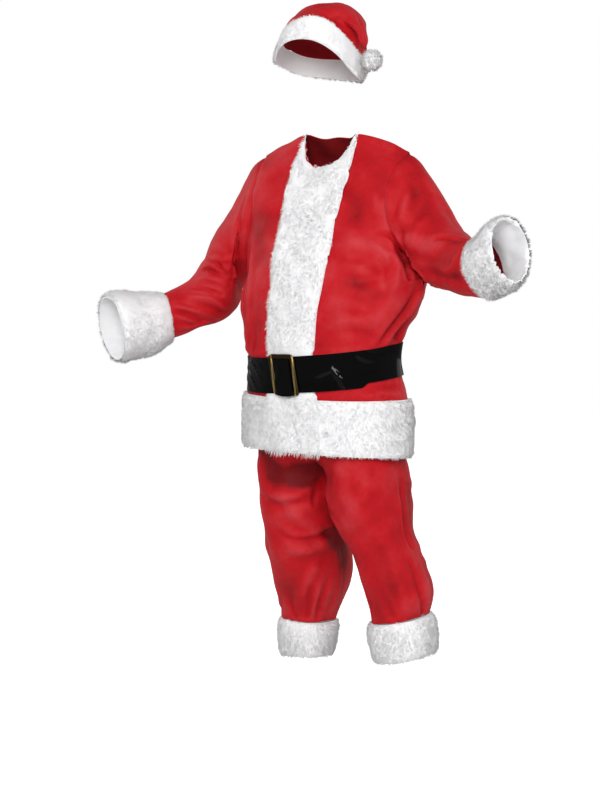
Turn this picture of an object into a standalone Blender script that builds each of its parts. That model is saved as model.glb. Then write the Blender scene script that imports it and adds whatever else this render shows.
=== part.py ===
"""A plush winter costume, worn: belted jacket, trousers and cap, all trimmed with white fur.

The front faces -Y, +X is the wearer's left and +Z is up. The origin is the base of the neck,
where the wearer's shoulders hold the costume up. Tables are in millimetres, and their heights
are measured from the floor that the wearer stands on.
"""
import math

import bmesh
import bpy
import numpy as np
from mathutils import Matrix

MM = 0.001
HELD_HEIGHT = 1560.0      # base of the neck above the wearer's floor
PLUSH = 2.0               # thickness of the plush cloth with its nap
SEAM_GAP = 0.3            # clearance between two pieces at a seam
SEAM_SHARE = 0.57         # how much of it each of the two draws back
FUR_PILE = 11.0           # reach of the fur above the cloth that it is sewn on
PRESSED_PILE = 4.0        # the same fur under the belt
NECK_PILE = 5.0           # the same fur along the neckline, where it is turned in
STRAP_THICKNESS = 2.2     # patent belt strap
STRAP_EASE = 0.8          # air between the strap and what it lies on
STRAP_STEP = 1.6          # how high the strap still stands one column past the fur band

# Jacket grid: levels of the lower body rows, and how many columns each stretch has.
HEM_LEVEL, FUR_TOP_LEVEL = 792.0, 922.0
BELT_LOW, BELT_HIGH = 953.0, 1041.0
UNDERARM, SHOULDER_LEVEL = 1216.0, 1583.0
LOWER_STRETCHES = ((HEM_LEVEL, FUR_TOP_LEVEL, 4), (FUR_TOP_LEVEL, BELT_LOW, 1),
                   (BELT_LOW, BELT_HIGH, 3), (BELT_HIGH, UNDERARM, 5))
HEM_ROWS = np.s_[0:5]     # rows that the hem band covers, and those that the belt covers
BELT_ROWS = np.s_[5:9]
YOKE_ROWS = 10            # rows from the underarm to the shoulder seam
BAND_COLUMNS = 3          # columns from the centre front to the edge of the fur band
PANEL_COLUMNS = 7         # columns from there to the side seam
ARMHOLE_SHARE = 0.42      # share of a sleeve over which its rings turn from armhole to oval
NECK_HALF_WIDTH = 72.0
NECK_FRONT_LEVEL, NECK_BACK_LEVEL = 1480.0, 1556.0

TABLES = {
    # Front of the jacket. Each row is one section from the centre front to the side:
    # where it starts and ends, and how far it runs on at each end before it turns.
    "front": ("level centre_y side_x side_y side_h reach pull_x pull_y", (
        (792, -147, 212, 5, 792, 132, 0, -98),
        (860, -150, 212, 5, 860, 130, 0, -98),
        (922, -152, 210, 5, 922, 128, 0, -100),
        (953, -155, 201, 5, 953, 130, 0, -104),
        (1041, -154, 200, 6, 1041, 130, 0, -102),
        (1085, -151, 213, 8, 1085, 132, 0, -98),
        (1135, -146, 237, 12, 1135, 140, 0, -96),
        (1216, -129, 248, 30, 1216, 140, 2, -98),
        (1250, -118, 238, -6, 1244, 130, 10, -62),
        (1300, -101, 216, -36, 1292, 120, 24, -44),
        (1360, -76, 198, -54, 1352, 105, 34, -25),
        (1420, -54, 192, -50, 1412, 95, 40, -12),
        (1480, -34, 195, -26, 1466, 85, 50, -8),
        (1540, -10, 204, 8, 1508, 75, 60, -6),
        (1583, -5, 210, 30, 1525, 70, 70, 12))),
    "back": ("level centre_y side_x side_y side_h reach pull_x pull_y", (
        (792, 150, 212, 5, 792, 124, 0, 88),
        (860, 148, 212, 5, 860, 122, 0, 86),
        (922, 138, 210, 5, 922, 118, 0, 80),
        (953, 118, 201, 5, 953, 108, 0, 62),
        (1041, 112, 200, 6, 1041, 106, 0, 58),
        (1085, 124, 213, 8, 1085, 116, 0, 70),
        (1135, 148, 237, 12, 1135, 134, 0, 88),
        (1216, 162, 248, 30, 1216, 140, 2, 88),
        (1250, 160, 240, 70, 1244, 135, 8, 56),
        (1300, 153, 224, 102, 1292, 125, 18, 34),
        (1360, 142, 208, 116, 1352, 115, 28, 20),
        (1420, 126, 200, 110, 1412, 105, 36, 14),
        (1480, 103, 200, 88, 1466, 95, 46, 12),
        (1540, 62, 206, 58, 1508, 80, 56, 6),
        (1583, -5, 210, 30, 1525, 70, 70, -12))),
    # How far the rows lean: millimetres of height for each millimetre to the left and back.
    "lean": ("level to_left to_back", (
        (792, -0.055, 0.0), (860, -0.035, 0.0), (922, -0.010, 0.0), (953, 0.075, 0.118),
        (1041, 0.075, 0.118), (1100, 0.040, 0.060), (1170, 0.0, 0.0), (1583, 0.0, 0.0))),
    # Half width of the front fur band.
    "band": ("level half_width", (
        (792, 77), (922, 74), (980, 69), (1060, 71), (1200, 79), (1300, 83), (1400, 86),
        (1480, 85), (1583, 72))),
    # Sleeves: rings from the armhole to the cuff seam, by their outer and inner points.
    "sleeve_left": ("along out_x out_y out_h in_x in_y in_h half_depth", (
        (0, 210, 30, 1525, 248, 30, 1216, 88),
        (35, 230, 32, 1500, 274, 24, 1211, 82),
        (75, 248, 30, 1456, 296, 12, 1200, 80),
        (120, 278, 22, 1406, 318, -4, 1190, 76),
        (165, 314, 8, 1360, 347, -26, 1181, 71),
        (215, 366, -18, 1324, 386, -48, 1177, 65),
        (265, 414, -54, 1308, 432, -68, 1172, 59),
        (315, 462, -92, 1302, 498, -84, 1170, 54))),
    "sleeve_right": ("along out_x out_y out_h in_x in_y in_h half_depth", (
        (0, 210, 30, 1525, 248, 30, 1216, 88),
        (35, 240, 20, 1499, 272, 30, 1209, 84),
        (75, 264, 6, 1443, 282, 30, 1196, 82),
        (125, 295, -4, 1386, 286, 26, 1176, 79),
        (170, 330, -6, 1340, 286, 18, 1152, 75),
        (220, 362, -10, 1292, 288, 6, 1130, 70),
        (270, 380, -26, 1236, 298, -14, 1114, 65),
        (315, 394, -56, 1202, 320, -40, 1102, 60),
        (355, 407, -86, 1190, 354, -70, 1084, 57),
        (395, 420, -116, 1178, 395, -108, 1056, 54))),
    # Fur cuffs of the sleeves, from the seam to the open end.
    "cuff_left": ("along out_x out_y out_h in_x in_y in_h half_depth pile", (
        (0, 462, -92, 1302, 498, -84, 1170, 54, 8),
        (35, 494, -110, 1314, 527, -98, 1179, 53, 10),
        (75, 530, -128, 1336, 560, -112, 1192, 54, 11),
        (110, 558, -138, 1342, 588, -124, 1209, 54, 11))),
    "cuff_right": ("along out_x out_y out_h in_x in_y in_h half_depth pile", (
        (0, 420, -116, 1178, 395, -108, 1056, 54, 6),
        (50, 446, -168, 1174, 420, -154, 1036, 60, 10),
        (100, 470, -216, 1172, 442, -200, 1024, 65, 11),
        (145, 490, -258, 1168, 462, -240, 1014, 68, 11))),
    # Trousers: sections of the hips, and of each leg below the crotch.
    "hips": ("level x y half_width front back", (
        (1035, 0, 0, 158, 114, 84), (985, 0, 0, 166, 124, 88), (930, 2, 0, 176, 131, 100),
        (870, 4, 2, 184, 135, 118), (800, 6, 6, 186, 138, 126), (740, 8, 12, 184, 136, 134),
        (700, 11, 18, 182, 134, 132))),
    "leg_left": ("level x y half_width front back to_left to_back", (
        (900, 104, 6, 100, 136, 136, 0, 0), (715, 109, 16, 94, 130, 130, 0, 0),
        (660, 111, 20, 90, 124, 122, 0, 0), (600, 120, 30, 87, 102, 100, 0, 0),
        (540, 152, 40, 80, 90, 92, 0, 0), (474, 168, 50, 81, 90, 92, 0.05, 0.03),
        (443, 172, 55, 75, 85, 85, 0.10, 0.07), (414, 173, 58, 70, 76, 76, 0.15, 0.10),
        (395, 171, 58, 67, 70, 70, 0.156, 0.109))),
    "leg_right": ("level x y half_width front back to_left to_back", (
        (900, -93, 6, 100, 136, 136, 0, 0), (715, -90, 18, 96, 130, 130, 0, 0),
        (650, -91, 30, 95, 124, 122, 0, 0), (566, -97, 58, 94, 126, 120, 0, 0),
        (515, -101, 74, 92, 118, 112, 0, 0), (433, -112, 95, 85, 98, 98, 0, 0),
        (393, -123, 102, 72, 80, 80, -0.03, -0.02), (360, -131, 103, 66, 68, 68, -0.03, -0.02))),
    # Fur cuffs of the trousers, below the leg's last section.
    "leg_cuff_left": ("level x y half_width front back to_left to_back pile", (
        (394.4, 171, 58, 67, 70, 70, 0.156, 0.109, 8),
        (362, 174, 60, 70, 73, 73, 0.156, 0.109, 11),
        (330, 179, 64, 69, 72, 72, 0.15, 0.10, 11),
        (300, 184, 68, 64, 67, 67, 0.14, 0.10, 9))),
    "leg_cuff_right": ("level x y half_width front back to_left to_back pile", (
        (359.4, -131, 103, 66, 68, 68, -0.03, -0.02, 8),
        (326, -134, 105, 67, 69, 69, -0.03, -0.02, 11),
        (294, -137, 108, 62, 64, 64, -0.02, 0.0, 10),
        (266, -139, 110, 56, 58, 58, 0.0, 0.0, 8))),
    # Cap: rings by their right and left ends, how far they reach to the front and back, how
    # much higher the front is than the middle, and how far both sides droop below it. The fur
    # band comes first, then the crown, slumping to the wearer's left.
    "cap_band": ("along right_x right_h left_x left_h y reach rise droop pile", (
        (0, -119, 1750, 84, 1722, -22, 108, 42, 26, 6),
        (25, -117, 1775, 89, 1747, -12, 107, 45, 31, 9),
        (50, -113, 1800, 93, 1772, -2, 105, 47, 35, 7))),
    "cap": ("along right_x right_h left_x left_h y reach rise droop", (
        (0, -113, 1800, 93, 1772, -2, 105, 47, 35), (35, -112, 1830, 92, 1787, 3, 104, 40, 20),
        (75, -91, 1856, 90, 1798, 5, 98, 30, 8), (120, -50, 1871, 88, 1803, 6, 88, 18, 0),
        (170, 4, 1879, 88, 1804, 6, 75, 8, 0), (215, 52, 1870, 90, 1802, 4, 57, 0, 0),
        (255, 86, 1844, 95, 1796, 0, 40, 0, 0), (290, 106, 1806, 101, 1783, -7, 26, 0, 0),
        (320, 112, 1777, 106, 1765, -11, 14, 0, 0), (340, 114, 1757, 110, 1755, -13, 4, 0, 0))),
    # Largest folds: a straight run from one end to the other in space, the distance at which
    # the fold has died away, and how far it pushes the cloth out or (below zero) in.
    "folds": ("x0 y0 h0 x1 y1 h1 spread depth", (
        (222, -60, 1335, 246, -16, 1255, 20, -12), (205, -85, 1300, 240, -70, 1120, 26, -9),
        (240, 0, 1170, 205, -95, 1060, 28, 10), (246, 70, 1160, 226, -40, 1050, 24, -9),
        (120, -120, 1290, 170, -105, 1180, 40, -6), (150, -118, 1180, 120, -140, 1080, 36, 6),
        (-214, -60, 1370, -236, -60, 1200, 20, -9), (-200, -80, 1110, -150, -130, 1060, 24, 6),
        (-60, 150, 1230, -160, 125, 1100, 34, -8), (40, 155, 1200, 150, 120, 1075, 32, -8),
        (-190, 90, 1180, -120, 130, 1060, 30, 7), (360, -80, 1290, 392, -20, 1205, 20, -8),
        (300, -50, 1330, 330, -70, 1240, 26, -6), (400, -30, 1300, 440, -110, 1210, 20, -6),
        (-380, -60, 1235, -290, -60, 1150, 18, -8), (-350, -70, 1290, -300, -70, 1180, 22, 6),
        (-400, -60, 1170, -340, -120, 1110, 18, -6), (30, -120, 720, 90, -100, 640, 26, -8),
        (-10, -125, 690, -90, -110, 620, 30, -8), (150, -90, 600, 200, -30, 520, 26, -7),
        (-150, -40, 560, -90, -60, 520, 26, 6), (120, 120, 640, 190, 110, 560, 30, -7),
        (-60, 150, 640, -150, 150, 560, 30, -7))),
}

TROUSER_ROWS = ((1035, 900, 3), (900, 760, 4), (760, 715, 3))    # waist to crotch
CROTCH_LEVEL, HIP_BLEND_LEVEL = 715.0, 900.0
CROTCH_CURVE = 2.6        # how late the centre seams turn under to the crotch
LEG_ROWS, LEG_COLUMNS = 10, 20
LEG_ROUNDNESS = 0.88      # 1 for an oval section, and less for a squarer one
SLEEVE_ROWS, CUFF_ROWS, LEG_CUFF_ROWS = 14, 4, 3
CAP_ROWS, CAP_BAND_ROWS, CAP_COLUMNS = 13, 2, 24

FOLD_NEAR, FOLD_FAR = 30.0, 70.0    # a fold's full depth and none, by the distance off its line
FOLD_ENDS = 0.35          # share of a fold's depth that is left at its ends

BUCKLE_WIDTH, BUCKLE_HEIGHT, BUCKLE_BAR = 74.0, 102.0, 12.0
BUCKLE_X, BUCKLE_CORNER, BUCKLE_TILT = -14.0, 6.0, 0.07
BUCKLE_EASE = 0.8         # air between the frame and the strap behind it
RIDGE_PROFILE = ((-6.0, 0.0), (-6.0, 3.0), (-3.2, 5.5), (0.0, 3.4), (3.2, 5.5), (6.0, 3.0),
                 (6.0, 0.0))
CORNER_STEPS = 3
ROD_RADIUS, ROD_SIDES, ROD_EASE = 1.3, 8, 0.4
TONGUE_HALF_WIDTH, TONGUE_CELLS = 23.5, 6
TONGUE_BACK, TONGUE_RISE, TONGUE_BULGE = 3.4, 3.2, 1.6      # how far it stands off the strap
TONGUE_TOP_EASE, TONGUE_SAG = 1.5, 3.0
TONGUE_RISE_END = 0.75    # how far down it has risen over the buckle's lower bar
POMPOM_CENTRE, POMPOM_CORE, LOCK_LENGTH = (131.0, -15.0, 1728.0), 20.0, 9.0

COLOURS = {     # name: base colour, roughness, metallic
    "red_plush": ((0.50, 0.012, 0.018), 0.85, 0.0),
    "white_fur": ((0.88, 0.87, 0.85), 0.95, 0.0),
    "black_patent": ((0.012, 0.012, 0.013), 0.15, 0.0),
    "aged_brass": ((0.42, 0.31, 0.14), 0.35, 1.0),
}


class Table:
    """Rows with named columns. at() reads the columns off a smooth curve through the rows."""

    def __init__(self, name):
        names, rows = TABLES[name]
        self.names = names.split()
        self.rows = np.array(rows, float)
        self.rows = self.rows[np.argsort(self.rows[:, 0])]
        self.keys, self.values = self.rows[:, 0], self.rows[:, 1:]
        self.slopes = np.gradient(self.values, self.keys, axis=0)

    def at(self, key):
        key = min(max(key, self.keys[0]), self.keys[-1])
        i = min(max(int(np.searchsorted(self.keys, key)) - 1, 0), len(self.keys) - 2)
        span = self.keys[i + 1] - self.keys[i]
        t = (key - self.keys[i]) / span
        value = ((1 + 2 * t) * (1 - t) ** 2 * self.values[i] + t * t * (3 - 2 * t) * self.values[i + 1]
                 + span * t * (1 - t) * ((1 - t) * self.slopes[i] - t * self.slopes[i + 1]))
        return dict(zip(self.names[1:], value))


def ease(t):
    """0 to 1, level at both ends."""
    t = np.clip(t, 0.0, 1.0)
    return t * t * (3 - 2 * t)


def unit(vectors):
    return vectors / np.maximum(np.linalg.norm(vectors, axis=-1, keepdims=True), 1e-9)


# ---------------------------------------------------------------- jacket: fronts and back

def row_curve(table, level, t):
    """Points at t, from the centre (0) to the side (1), of one section of the jacket."""
    row = table.at(level)
    drop = level - row["side_h"]
    start = np.array([0.0, row["centre_y"], level])
    end = np.array([row["side_x"], row["side_y"], row["side_h"]])
    first = start + np.array([row["reach"], 0.0, -drop / 3])
    last = end + np.array([-row["pull_x"], row["pull_y"], drop / 3])
    if level == SHOULDER_LEVEL:
        first, last = start + (end - start) / 3, end + (start - end) / 3
    t = np.asarray(t, float)[:, None]
    return ((1 - t) ** 3 * start + 3 * (1 - t) ** 2 * t * first
            + 3 * (1 - t) * t * t * last + t ** 3 * end)


def t_at_x(table, level, x):
    fine = np.linspace(0, 1, 201)
    return float(np.interp(x, row_curve(table, level, fine)[:, 0], fine))


def jacket_levels():
    levels = [HEM_LEVEL]
    for low, high, count in LOWER_STRETCHES:
        levels += [low + (high - low) * k / count for k in range(1, count + 1)]
    return levels


def half_panel(table, neck_level, band):
    """Right-hand points of a front or back: rows from the hem, columns from the centre."""
    lower = jacket_levels()
    columns = BAND_COLUMNS + PANEL_COLUMNS
    grid = np.zeros((len(lower) + YOKE_ROWS, columns + 1, 3))
    for j in range(columns + 1):
        inner = min(j / BAND_COLUMNS, 1.0)
        neck_rise = 1 - math.sqrt(max(0.0, 1 - inner ** 2))
        top = neck_level + (SHOULDER_LEVEL - neck_level) * neck_rise
        for i in range(grid.shape[0]):
            if i < len(lower):
                level = lower[i]
            else:
                level = UNDERARM + (top - UNDERARM) * (i - len(lower) + 1) / YOKE_ROWS
            edge = band(level)
            t_edge = t_at_x(table, level, edge)
            if j <= BAND_COLUMNS:
                t = t_at_x(table, level, edge * inner)
            else:
                t = t_edge + (1 - t_edge) * (j - BAND_COLUMNS) / PANEL_COLUMNS
            grid[i, j] = row_curve(table, level, [t])[0]
    return grid


def leaned(points):
    """Points of the jacket body after its rows lean with the belt and the hem."""
    lean = Table("lean")
    out = points.copy()
    for index in np.ndindex(points.shape[:-1]):
        x, y, level = points[index]
        row = lean.at(level)
        out[index][2] = level + row["to_left"] * x + row["to_back"] * y
    return out


def jacket_body():
    """Grids of the two fronts and the back, columns running to the right seen from outside."""
    band = Table("band")
    front = half_panel(Table("front"), NECK_FRONT_LEVEL, lambda level: band.at(level)["half_width"])
    back = half_panel(Table("back"), NECK_BACK_LEVEL, lambda level: NECK_HALF_WIDTH)
    seam_rows = len(jacket_levels())
    back[:seam_rows, -1] = front[:seam_rows, -1]
    back[-1, BAND_COLUMNS:] = front[-1, BAND_COLUMNS:]
    to_right = np.array([-1.0, 1.0, 1.0])
    return {
        "jacket_front_right": leaned((front * to_right)[:, ::-1]),
        "jacket_front_left": leaned(front),
        "jacket_back": leaned(np.concatenate([back[:, ::-1], (back * to_right)[:, 1:]], axis=1)),
    }


# ---------------------------------------------------------------- sleeves, cuffs and cap

def oval_rings(table, count, angles, ends, depth_sign):
    """Rings between two end points of each row, as wide across as the row's half depth."""
    keys = np.linspace(table.keys[0], table.keys[-1], count + 1)
    rows = [table.at(key) for key in keys]
    first = np.array([[row[ends[0] + axis] for axis in ("_x", "_y", "_h")] for row in rows])
    second = np.array([[row[ends[1] + axis] for axis in ("_x", "_y", "_h")] for row in rows])
    centre, long_axis = (first + second) / 2, (first - second) / 2
    travel = np.gradient(centre, axis=0)
    across = depth_sign * unit(np.cross(long_axis, travel))
    across *= np.array([row["half_depth"] for row in rows])[:, None]
    rings = (centre[:, None] + long_axis[:, None] * np.cos(angles)[None, :, None]
             + across[:, None] * np.sin(angles)[None, :, None])
    rings[:, -1] = rings[:, 0]
    return rings, centre, rows


def mirrored(name, side):
    """A sleeve or cuff table, whose x is given as if on the left, on its own side."""
    table = Table(name)
    for k, column in enumerate(table.names[1:]):
        if column.endswith("_x"):
            table.values[:, k] *= side
            table.slopes[:, k] *= side
    return table


def side_word(side):
    return "left" if side > 0 else "right"


def ring_angles(count):
    """Angles of a sleeve ring's points, from underneath up the front and over."""
    return math.pi - 2 * math.pi * np.arange(count) / (count - 1)


def armhole(front, back, side):
    """The armhole's points from the underarm up the front, over the shoulder and down."""
    first = len(jacket_levels()) - 1
    front_edge = front[first:, -1] if side > 0 else front[first:, 0]
    back_edge = back[first:, 0] if side > 0 else back[first:, -1]
    return np.concatenate([front_edge, back_edge[::-1][1:]])


def sleeve(body, side):
    """A sleeve that leaves the armhole's own points and settles into oval rings."""
    word = side_word(side)
    loop = armhole(body["jacket_front_" + word], body["jacket_back"], side)
    rings, centre, _ = oval_rings(mirrored("sleeve_" + word, side), SLEEVE_ROWS,
                                  ring_angles(len(loop)), ("out", "in"), -side)
    blend = ease(np.linspace(0, 1, len(rings)) / ARMHOLE_SHARE)[:, None, None]
    carried = loop[None] + (centre - centre[0])[:, None]
    return facing_out(carried * (1 - blend) + rings * blend)


def cuff(side, sleeve_rings):
    """A cuff that goes on from the sleeve's last ring, and the fur's reach at each ring."""
    rings, _, rows = oval_rings(mirrored("cuff_" + side_word(side), side), CUFF_ROWS,
                                ring_angles(sleeve_rings.shape[1]), ("out", "in"), -side)
    rings = facing_out(rings)
    rings[0] = sleeve_rings[-1]
    return rings, [row["pile"] for row in rows]


def facing_out(rings):
    """The same rings, their points ordered so that the surface faces away from the axis."""
    middle = rings[:, :-1].mean(axis=1)
    across = rings[:-1, 1:] - rings[:-1, :-1]
    along = rings[1:, :-1] - rings[:-1, :-1]
    outward = rings[:-1, :-1] - middle[:-1, None]
    if np.sum(np.cross(across, along) * outward) < 0:
        return rings[:, ::-1]
    return rings


def cap_rings(name, count):
    """Rings of the cap, from its lower edge: right end, front, left end and back."""
    table = Table(name)
    rings = np.zeros((count + 1, CAP_COLUMNS + 1, 3))
    for i, key in enumerate(np.linspace(table.keys[0], table.keys[-1], count + 1)):
        row = table.at(key)
        for j in range(CAP_COLUMNS + 1):
            angle = 2 * math.pi * (j % CAP_COLUMNS) / CAP_COLUMNS
            rightward, forward = math.cos(angle), math.sin(angle)
            share = (1 + rightward) / 2
            rings[i, j] = (row["left_x"] + (row["right_x"] - row["left_x"]) * share,
                           row["y"] - row["reach"] * forward,
                           row["left_h"] + (row["right_h"] - row["left_h"]) * share
                           + row["rise"] * forward - row["droop"] * rightward ** 2)
    return facing_out(rings), table


# ---------------------------------------------------------------- trousers

def section(row, angle):
    """A point of a section, by its angle from the front towards the left."""
    sine, cosine = math.sin(angle), math.cos(angle)
    depth = row["front"] if cosine > 0 else row["back"]
    across = math.copysign(abs(sine) ** LEG_ROUNDNESS, sine)
    ahead = math.copysign(abs(cosine) ** LEG_ROUNDNESS, cosine)
    return np.array([row["x"] + row["half_width"] * across, row["y"] - depth * ahead])


def leg_rings(table, levels, side):
    """Rings of a leg or a leg cuff, from the inseam round the front to the inseam."""
    rings = np.zeros((len(levels), LEG_COLUMNS + 1, 3))
    for i, level in enumerate(levels):
        row = table.at(level)
        for j in range(LEG_COLUMNS + 1):
            angle = -math.pi / 2 + 2 * math.pi * (j % LEG_COLUMNS) / LEG_COLUMNS
            x, y = section(row, side * angle)
            lean = row["to_left"] * (x - row["x"]) + row["to_back"] * (y - row["y"])
            rings[i, j] = x, y, level + lean
    return rings


def trouser_leg(side):
    """A leg with its half of the hips, and its cuff: rows from the top, columns from the
    centre front or inseam round the outside to the centre back or inseam."""
    levels = [TROUSER_ROWS[0][0]]
    for high, low, count in TROUSER_ROWS:
        levels += [high + (low - high) * k / count for k in range(1, count + 1)]
    hips, leg = Table("hips"), Table("leg_" + side_word(side))
    end = leg.keys[0]
    levels += [CROTCH_LEVEL + (end - CROTCH_LEVEL) * k / LEG_ROWS for k in range(1, LEG_ROWS + 1)]
    grid = leg_rings(leg, levels, side)
    for i, level in enumerate(levels):
        if level < CROTCH_LEVEL:
            continue
        below_hips = (HIP_BLEND_LEVEL - level) / (HIP_BLEND_LEVEL - CROTCH_LEVEL)
        share = min(max(below_hips, 0.0), 1.0) ** CROTCH_CURVE
        row = hips.at(level)
        for j in range(LEG_COLUMNS + 1):
            x, y = section(row, side * math.pi * j / LEG_COLUMNS)
            grid[i, j, :2] = grid[i, j, :2] * share + np.array([x, y]) * (1 - share)
        grid[i, (0, -1), 0] = row["x"]
        if level == CROTCH_LEVEL:
            grid[i, (0, -1), 1] = row["y"]
    table = Table("leg_cuff_" + side_word(side))
    levels = np.linspace(table.keys[-1], table.keys[0], LEG_CUFF_ROWS + 1)
    cuff_grid = leg_rings(table, levels, side)
    cuff_grid[0] = grid[-1]
    pile = [table.at(level)["pile"] for level in levels]
    return grid, cuff_grid, pile


# ---------------------------------------------------------------- cloth walls

def surface_normals(grids):
    """Unit normals of each grid, shared where grids share points, as along a seam."""
    points = np.concatenate([grid.reshape(-1, 3) for grid in grids])
    _, shared = np.unique(np.round(points * 100).astype(int), axis=0, return_inverse=True)
    shared = shared.reshape(-1)
    total = np.zeros((shared.max() + 1, 3))
    start = 0
    for grid in grids:
        ids = shared[start:start + grid.shape[0] * grid.shape[1]].reshape(grid.shape[:2])
        start += ids.size
        faces = np.cross(grid[1:, 1:] - grid[:-1, :-1], grid[1:, :-1] - grid[:-1, 1:])
        for corner in (ids[:-1, :-1], ids[:-1, 1:], ids[1:, 1:], ids[1:, :-1]):
            np.add.at(total, corner, faces)
    total = unit(total)
    out, start = [], 0
    for grid in grids:
        size = grid.shape[0] * grid.shape[1]
        out.append(total[shared[start:start + size]].reshape(grid.shape))
        start += size
    return out


def folded(grids):
    """The grids after the largest folds have pushed them out or in."""
    folds = [dict(zip(TABLES["folds"][0].split(), row)) for row in TABLES["folds"][1]]
    moved = []
    for grid, normals in zip(grids, surface_normals(grids)):
        shift = np.zeros(grid.shape[:2])
        for fold in folds:
            start = np.array([fold["x0"], fold["y0"], fold["h0"]])
            run = np.array([fold["x1"], fold["y1"], fold["h1"]]) - start
            t = np.clip(((grid - start) @ run) / (run @ run), 0, 1)
            gap = grid - (start + t[..., None] * run)
            off = np.abs(np.sum(gap * normals, axis=-1))
            away = np.sqrt(np.maximum(np.sum(gap * gap, axis=-1) - off ** 2, 0))
            taper = FOLD_ENDS + (1 - FOLD_ENDS) * np.sin(math.pi * t)
            near = ease((FOLD_FAR - off) / (FOLD_FAR - FOLD_NEAR))
            fade = np.exp(-(away / fold["spread"]) ** 2) * near
            shift += fold["depth"] * taper * fade
        moved.append(grid + normals * shift[..., None])
    return moved


def parted(points, rim_points, seams):
    """Points drawn back from each seam edge by half the gap, square to the seam."""
    points = points.copy()
    edges = {"left": (np.s_[:, 0], np.s_[:, 1]), "right": (np.s_[:, -1], np.s_[:, -2]),
             "bottom": (np.s_[0], np.s_[1]), "top": (np.s_[-1], np.s_[-2])}
    for name in seams:
        edge, inside = edges[name]
        along = unit(np.gradient(rim_points[edge], axis=0))
        if np.allclose(rim_points[edge][0], rim_points[edge][-1]):
            along[0] = along[-1] = unit(rim_points[edge][1] - rim_points[edge][-2])
        pull = rim_points[inside] - rim_points[edge]
        pull = unit(pull - np.sum(pull * along, axis=-1, keepdims=True) * along)
        points[edge] += pull * SEAM_GAP * SEAM_SHARE
    return points


def solid(name, outer, inner, material):
    """A closed wall between two grids of the same shape, in millimetres over the floor."""
    closed = np.allclose(outer[:, 0], outer[:, -1], atol=1e-4)
    if closed:
        outer, inner = outer[:, :-1], inner[:, :-1]
    rows, columns = outer.shape[:2]
    count = rows * columns
    points = np.concatenate([outer.reshape(-1, 3), inner.reshape(-1, 3)])
    points = (points - np.array([0.0, 0.0, HELD_HEIGHT])) * MM
    faces = []
    last = columns if closed else columns - 1

    def corner(i, j):
        return i * columns + j % columns

    for i in range(rows - 1):
        for j in range(last):
            a, b, c, d = corner(i, j), corner(i, j + 1), corner(i + 1, j + 1), corner(i + 1, j)
            faces += [(a, b, c), (a, c, d), (a + count, c + count, b + count),
                      (a + count, d + count, c + count)]
    rims = [[(corner(0, j), corner(0, j + 1)) for j in range(last)],
            [(corner(rows - 1, j + 1), corner(rows - 1, j)) for j in range(last)]]
    if not closed:
        rims += [[(corner(i + 1, 0), corner(i, 0)) for i in range(rows - 1)],
                 [(corner(i, columns - 1), corner(i + 1, columns - 1)) for i in range(rows - 1)]]
    for rim in rims:
        for a, b in rim:
            inner_a, inner_b = a + count, b + count
            if math.dist(points[a], points[inner_b]) < math.dist(points[b], points[inner_a]):
                faces += [(a, inner_a, inner_b), (a, inner_b, b)]
            else:
                faces += [(a, inner_a, b), (b, inner_a, inner_b)]
    shape = bmesh.new()
    corners = [shape.verts.new(point) for point in points]
    for face in faces:
        shape.faces.new([corners[k] for k in face])
    bmesh.ops.recalc_face_normals(shape, faces=shape.faces)
    return keep(shape, name, material)


def cloth(name, grid, normals, seams, material="red_plush", thickness=PLUSH):
    """A panel of cloth: its grid outside, and the same points moved in by its thickness."""
    outer = parted(grid, grid, seams)
    return solid(name, outer, outer - normals * thickness, material)


def fur(name, grid, normals, pile, seams):
    """Fur on a panel: made from the panel's points, moved out."""
    base = parted(grid, grid, seams)
    pile = np.broadcast_to(pile, grid.shape[:2])[..., None]
    return solid(name, base + normals * (SEAM_GAP + pile), base + normals * SEAM_GAP, "white_fur")


def fur_tube(name, grid, normals, pile, seam):
    """A cuff of fur cloth: its backing inside and its pile outside, sewn on at one edge."""
    base = parted(grid, grid, (seam,))
    reach = np.array(pile)[:, None, None]
    return solid(name, base + normals * reach, base - normals * PLUSH, "white_fur")


# ---------------------------------------------------------------- the pieces

def build_jacket():
    grids, piles = jacket_body(), {}
    for side in (1, -1):
        word = side_word(side)
        grids["sleeve_" + word] = sleeve(grids, side)
        grids["cuff_" + word], piles["cuff_" + word] = cuff(side, grids["sleeve_" + word])
    names = list(grids)
    shapes = dict(zip(names, folded([grids[name] for name in names])))
    normals = dict(zip(names, surface_normals([shapes[name] for name in names])))
    seams = {"jacket_front_right": ("left", "right", "top"),
             "jacket_front_left": ("left", "right", "top"),
             "jacket_back": ("left", "right", "top"),
             "sleeve_left": ("bottom", "top"), "sleeve_right": ("bottom", "top")}
    for name in names:
        if name in piles:
            fur_tube(name, shapes[name], normals[name], piles[name], "bottom")
        else:
            cloth(name, shapes[name], normals[name], seams[name])
    right, left = "jacket_front_right", "jacket_front_left"
    joined = {}
    for key, source in (("points", shapes), ("normals", normals)):
        joined[key] = source[right], source[left], source["jacket_back"]
    build_trims(joined)


def strip(parts, rows, columns_right, columns_left, with_back):
    """A grid across the fronts (and round the back) from the columns that it covers."""
    right, left, back = parts
    if with_back:
        return np.concatenate([left[rows, columns_left], back[rows, 1:-1],
                               right[rows, columns_right]], axis=1)
    return np.concatenate([right[rows, columns_right], left[rows, columns_left][:, 1:]], axis=1)


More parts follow.
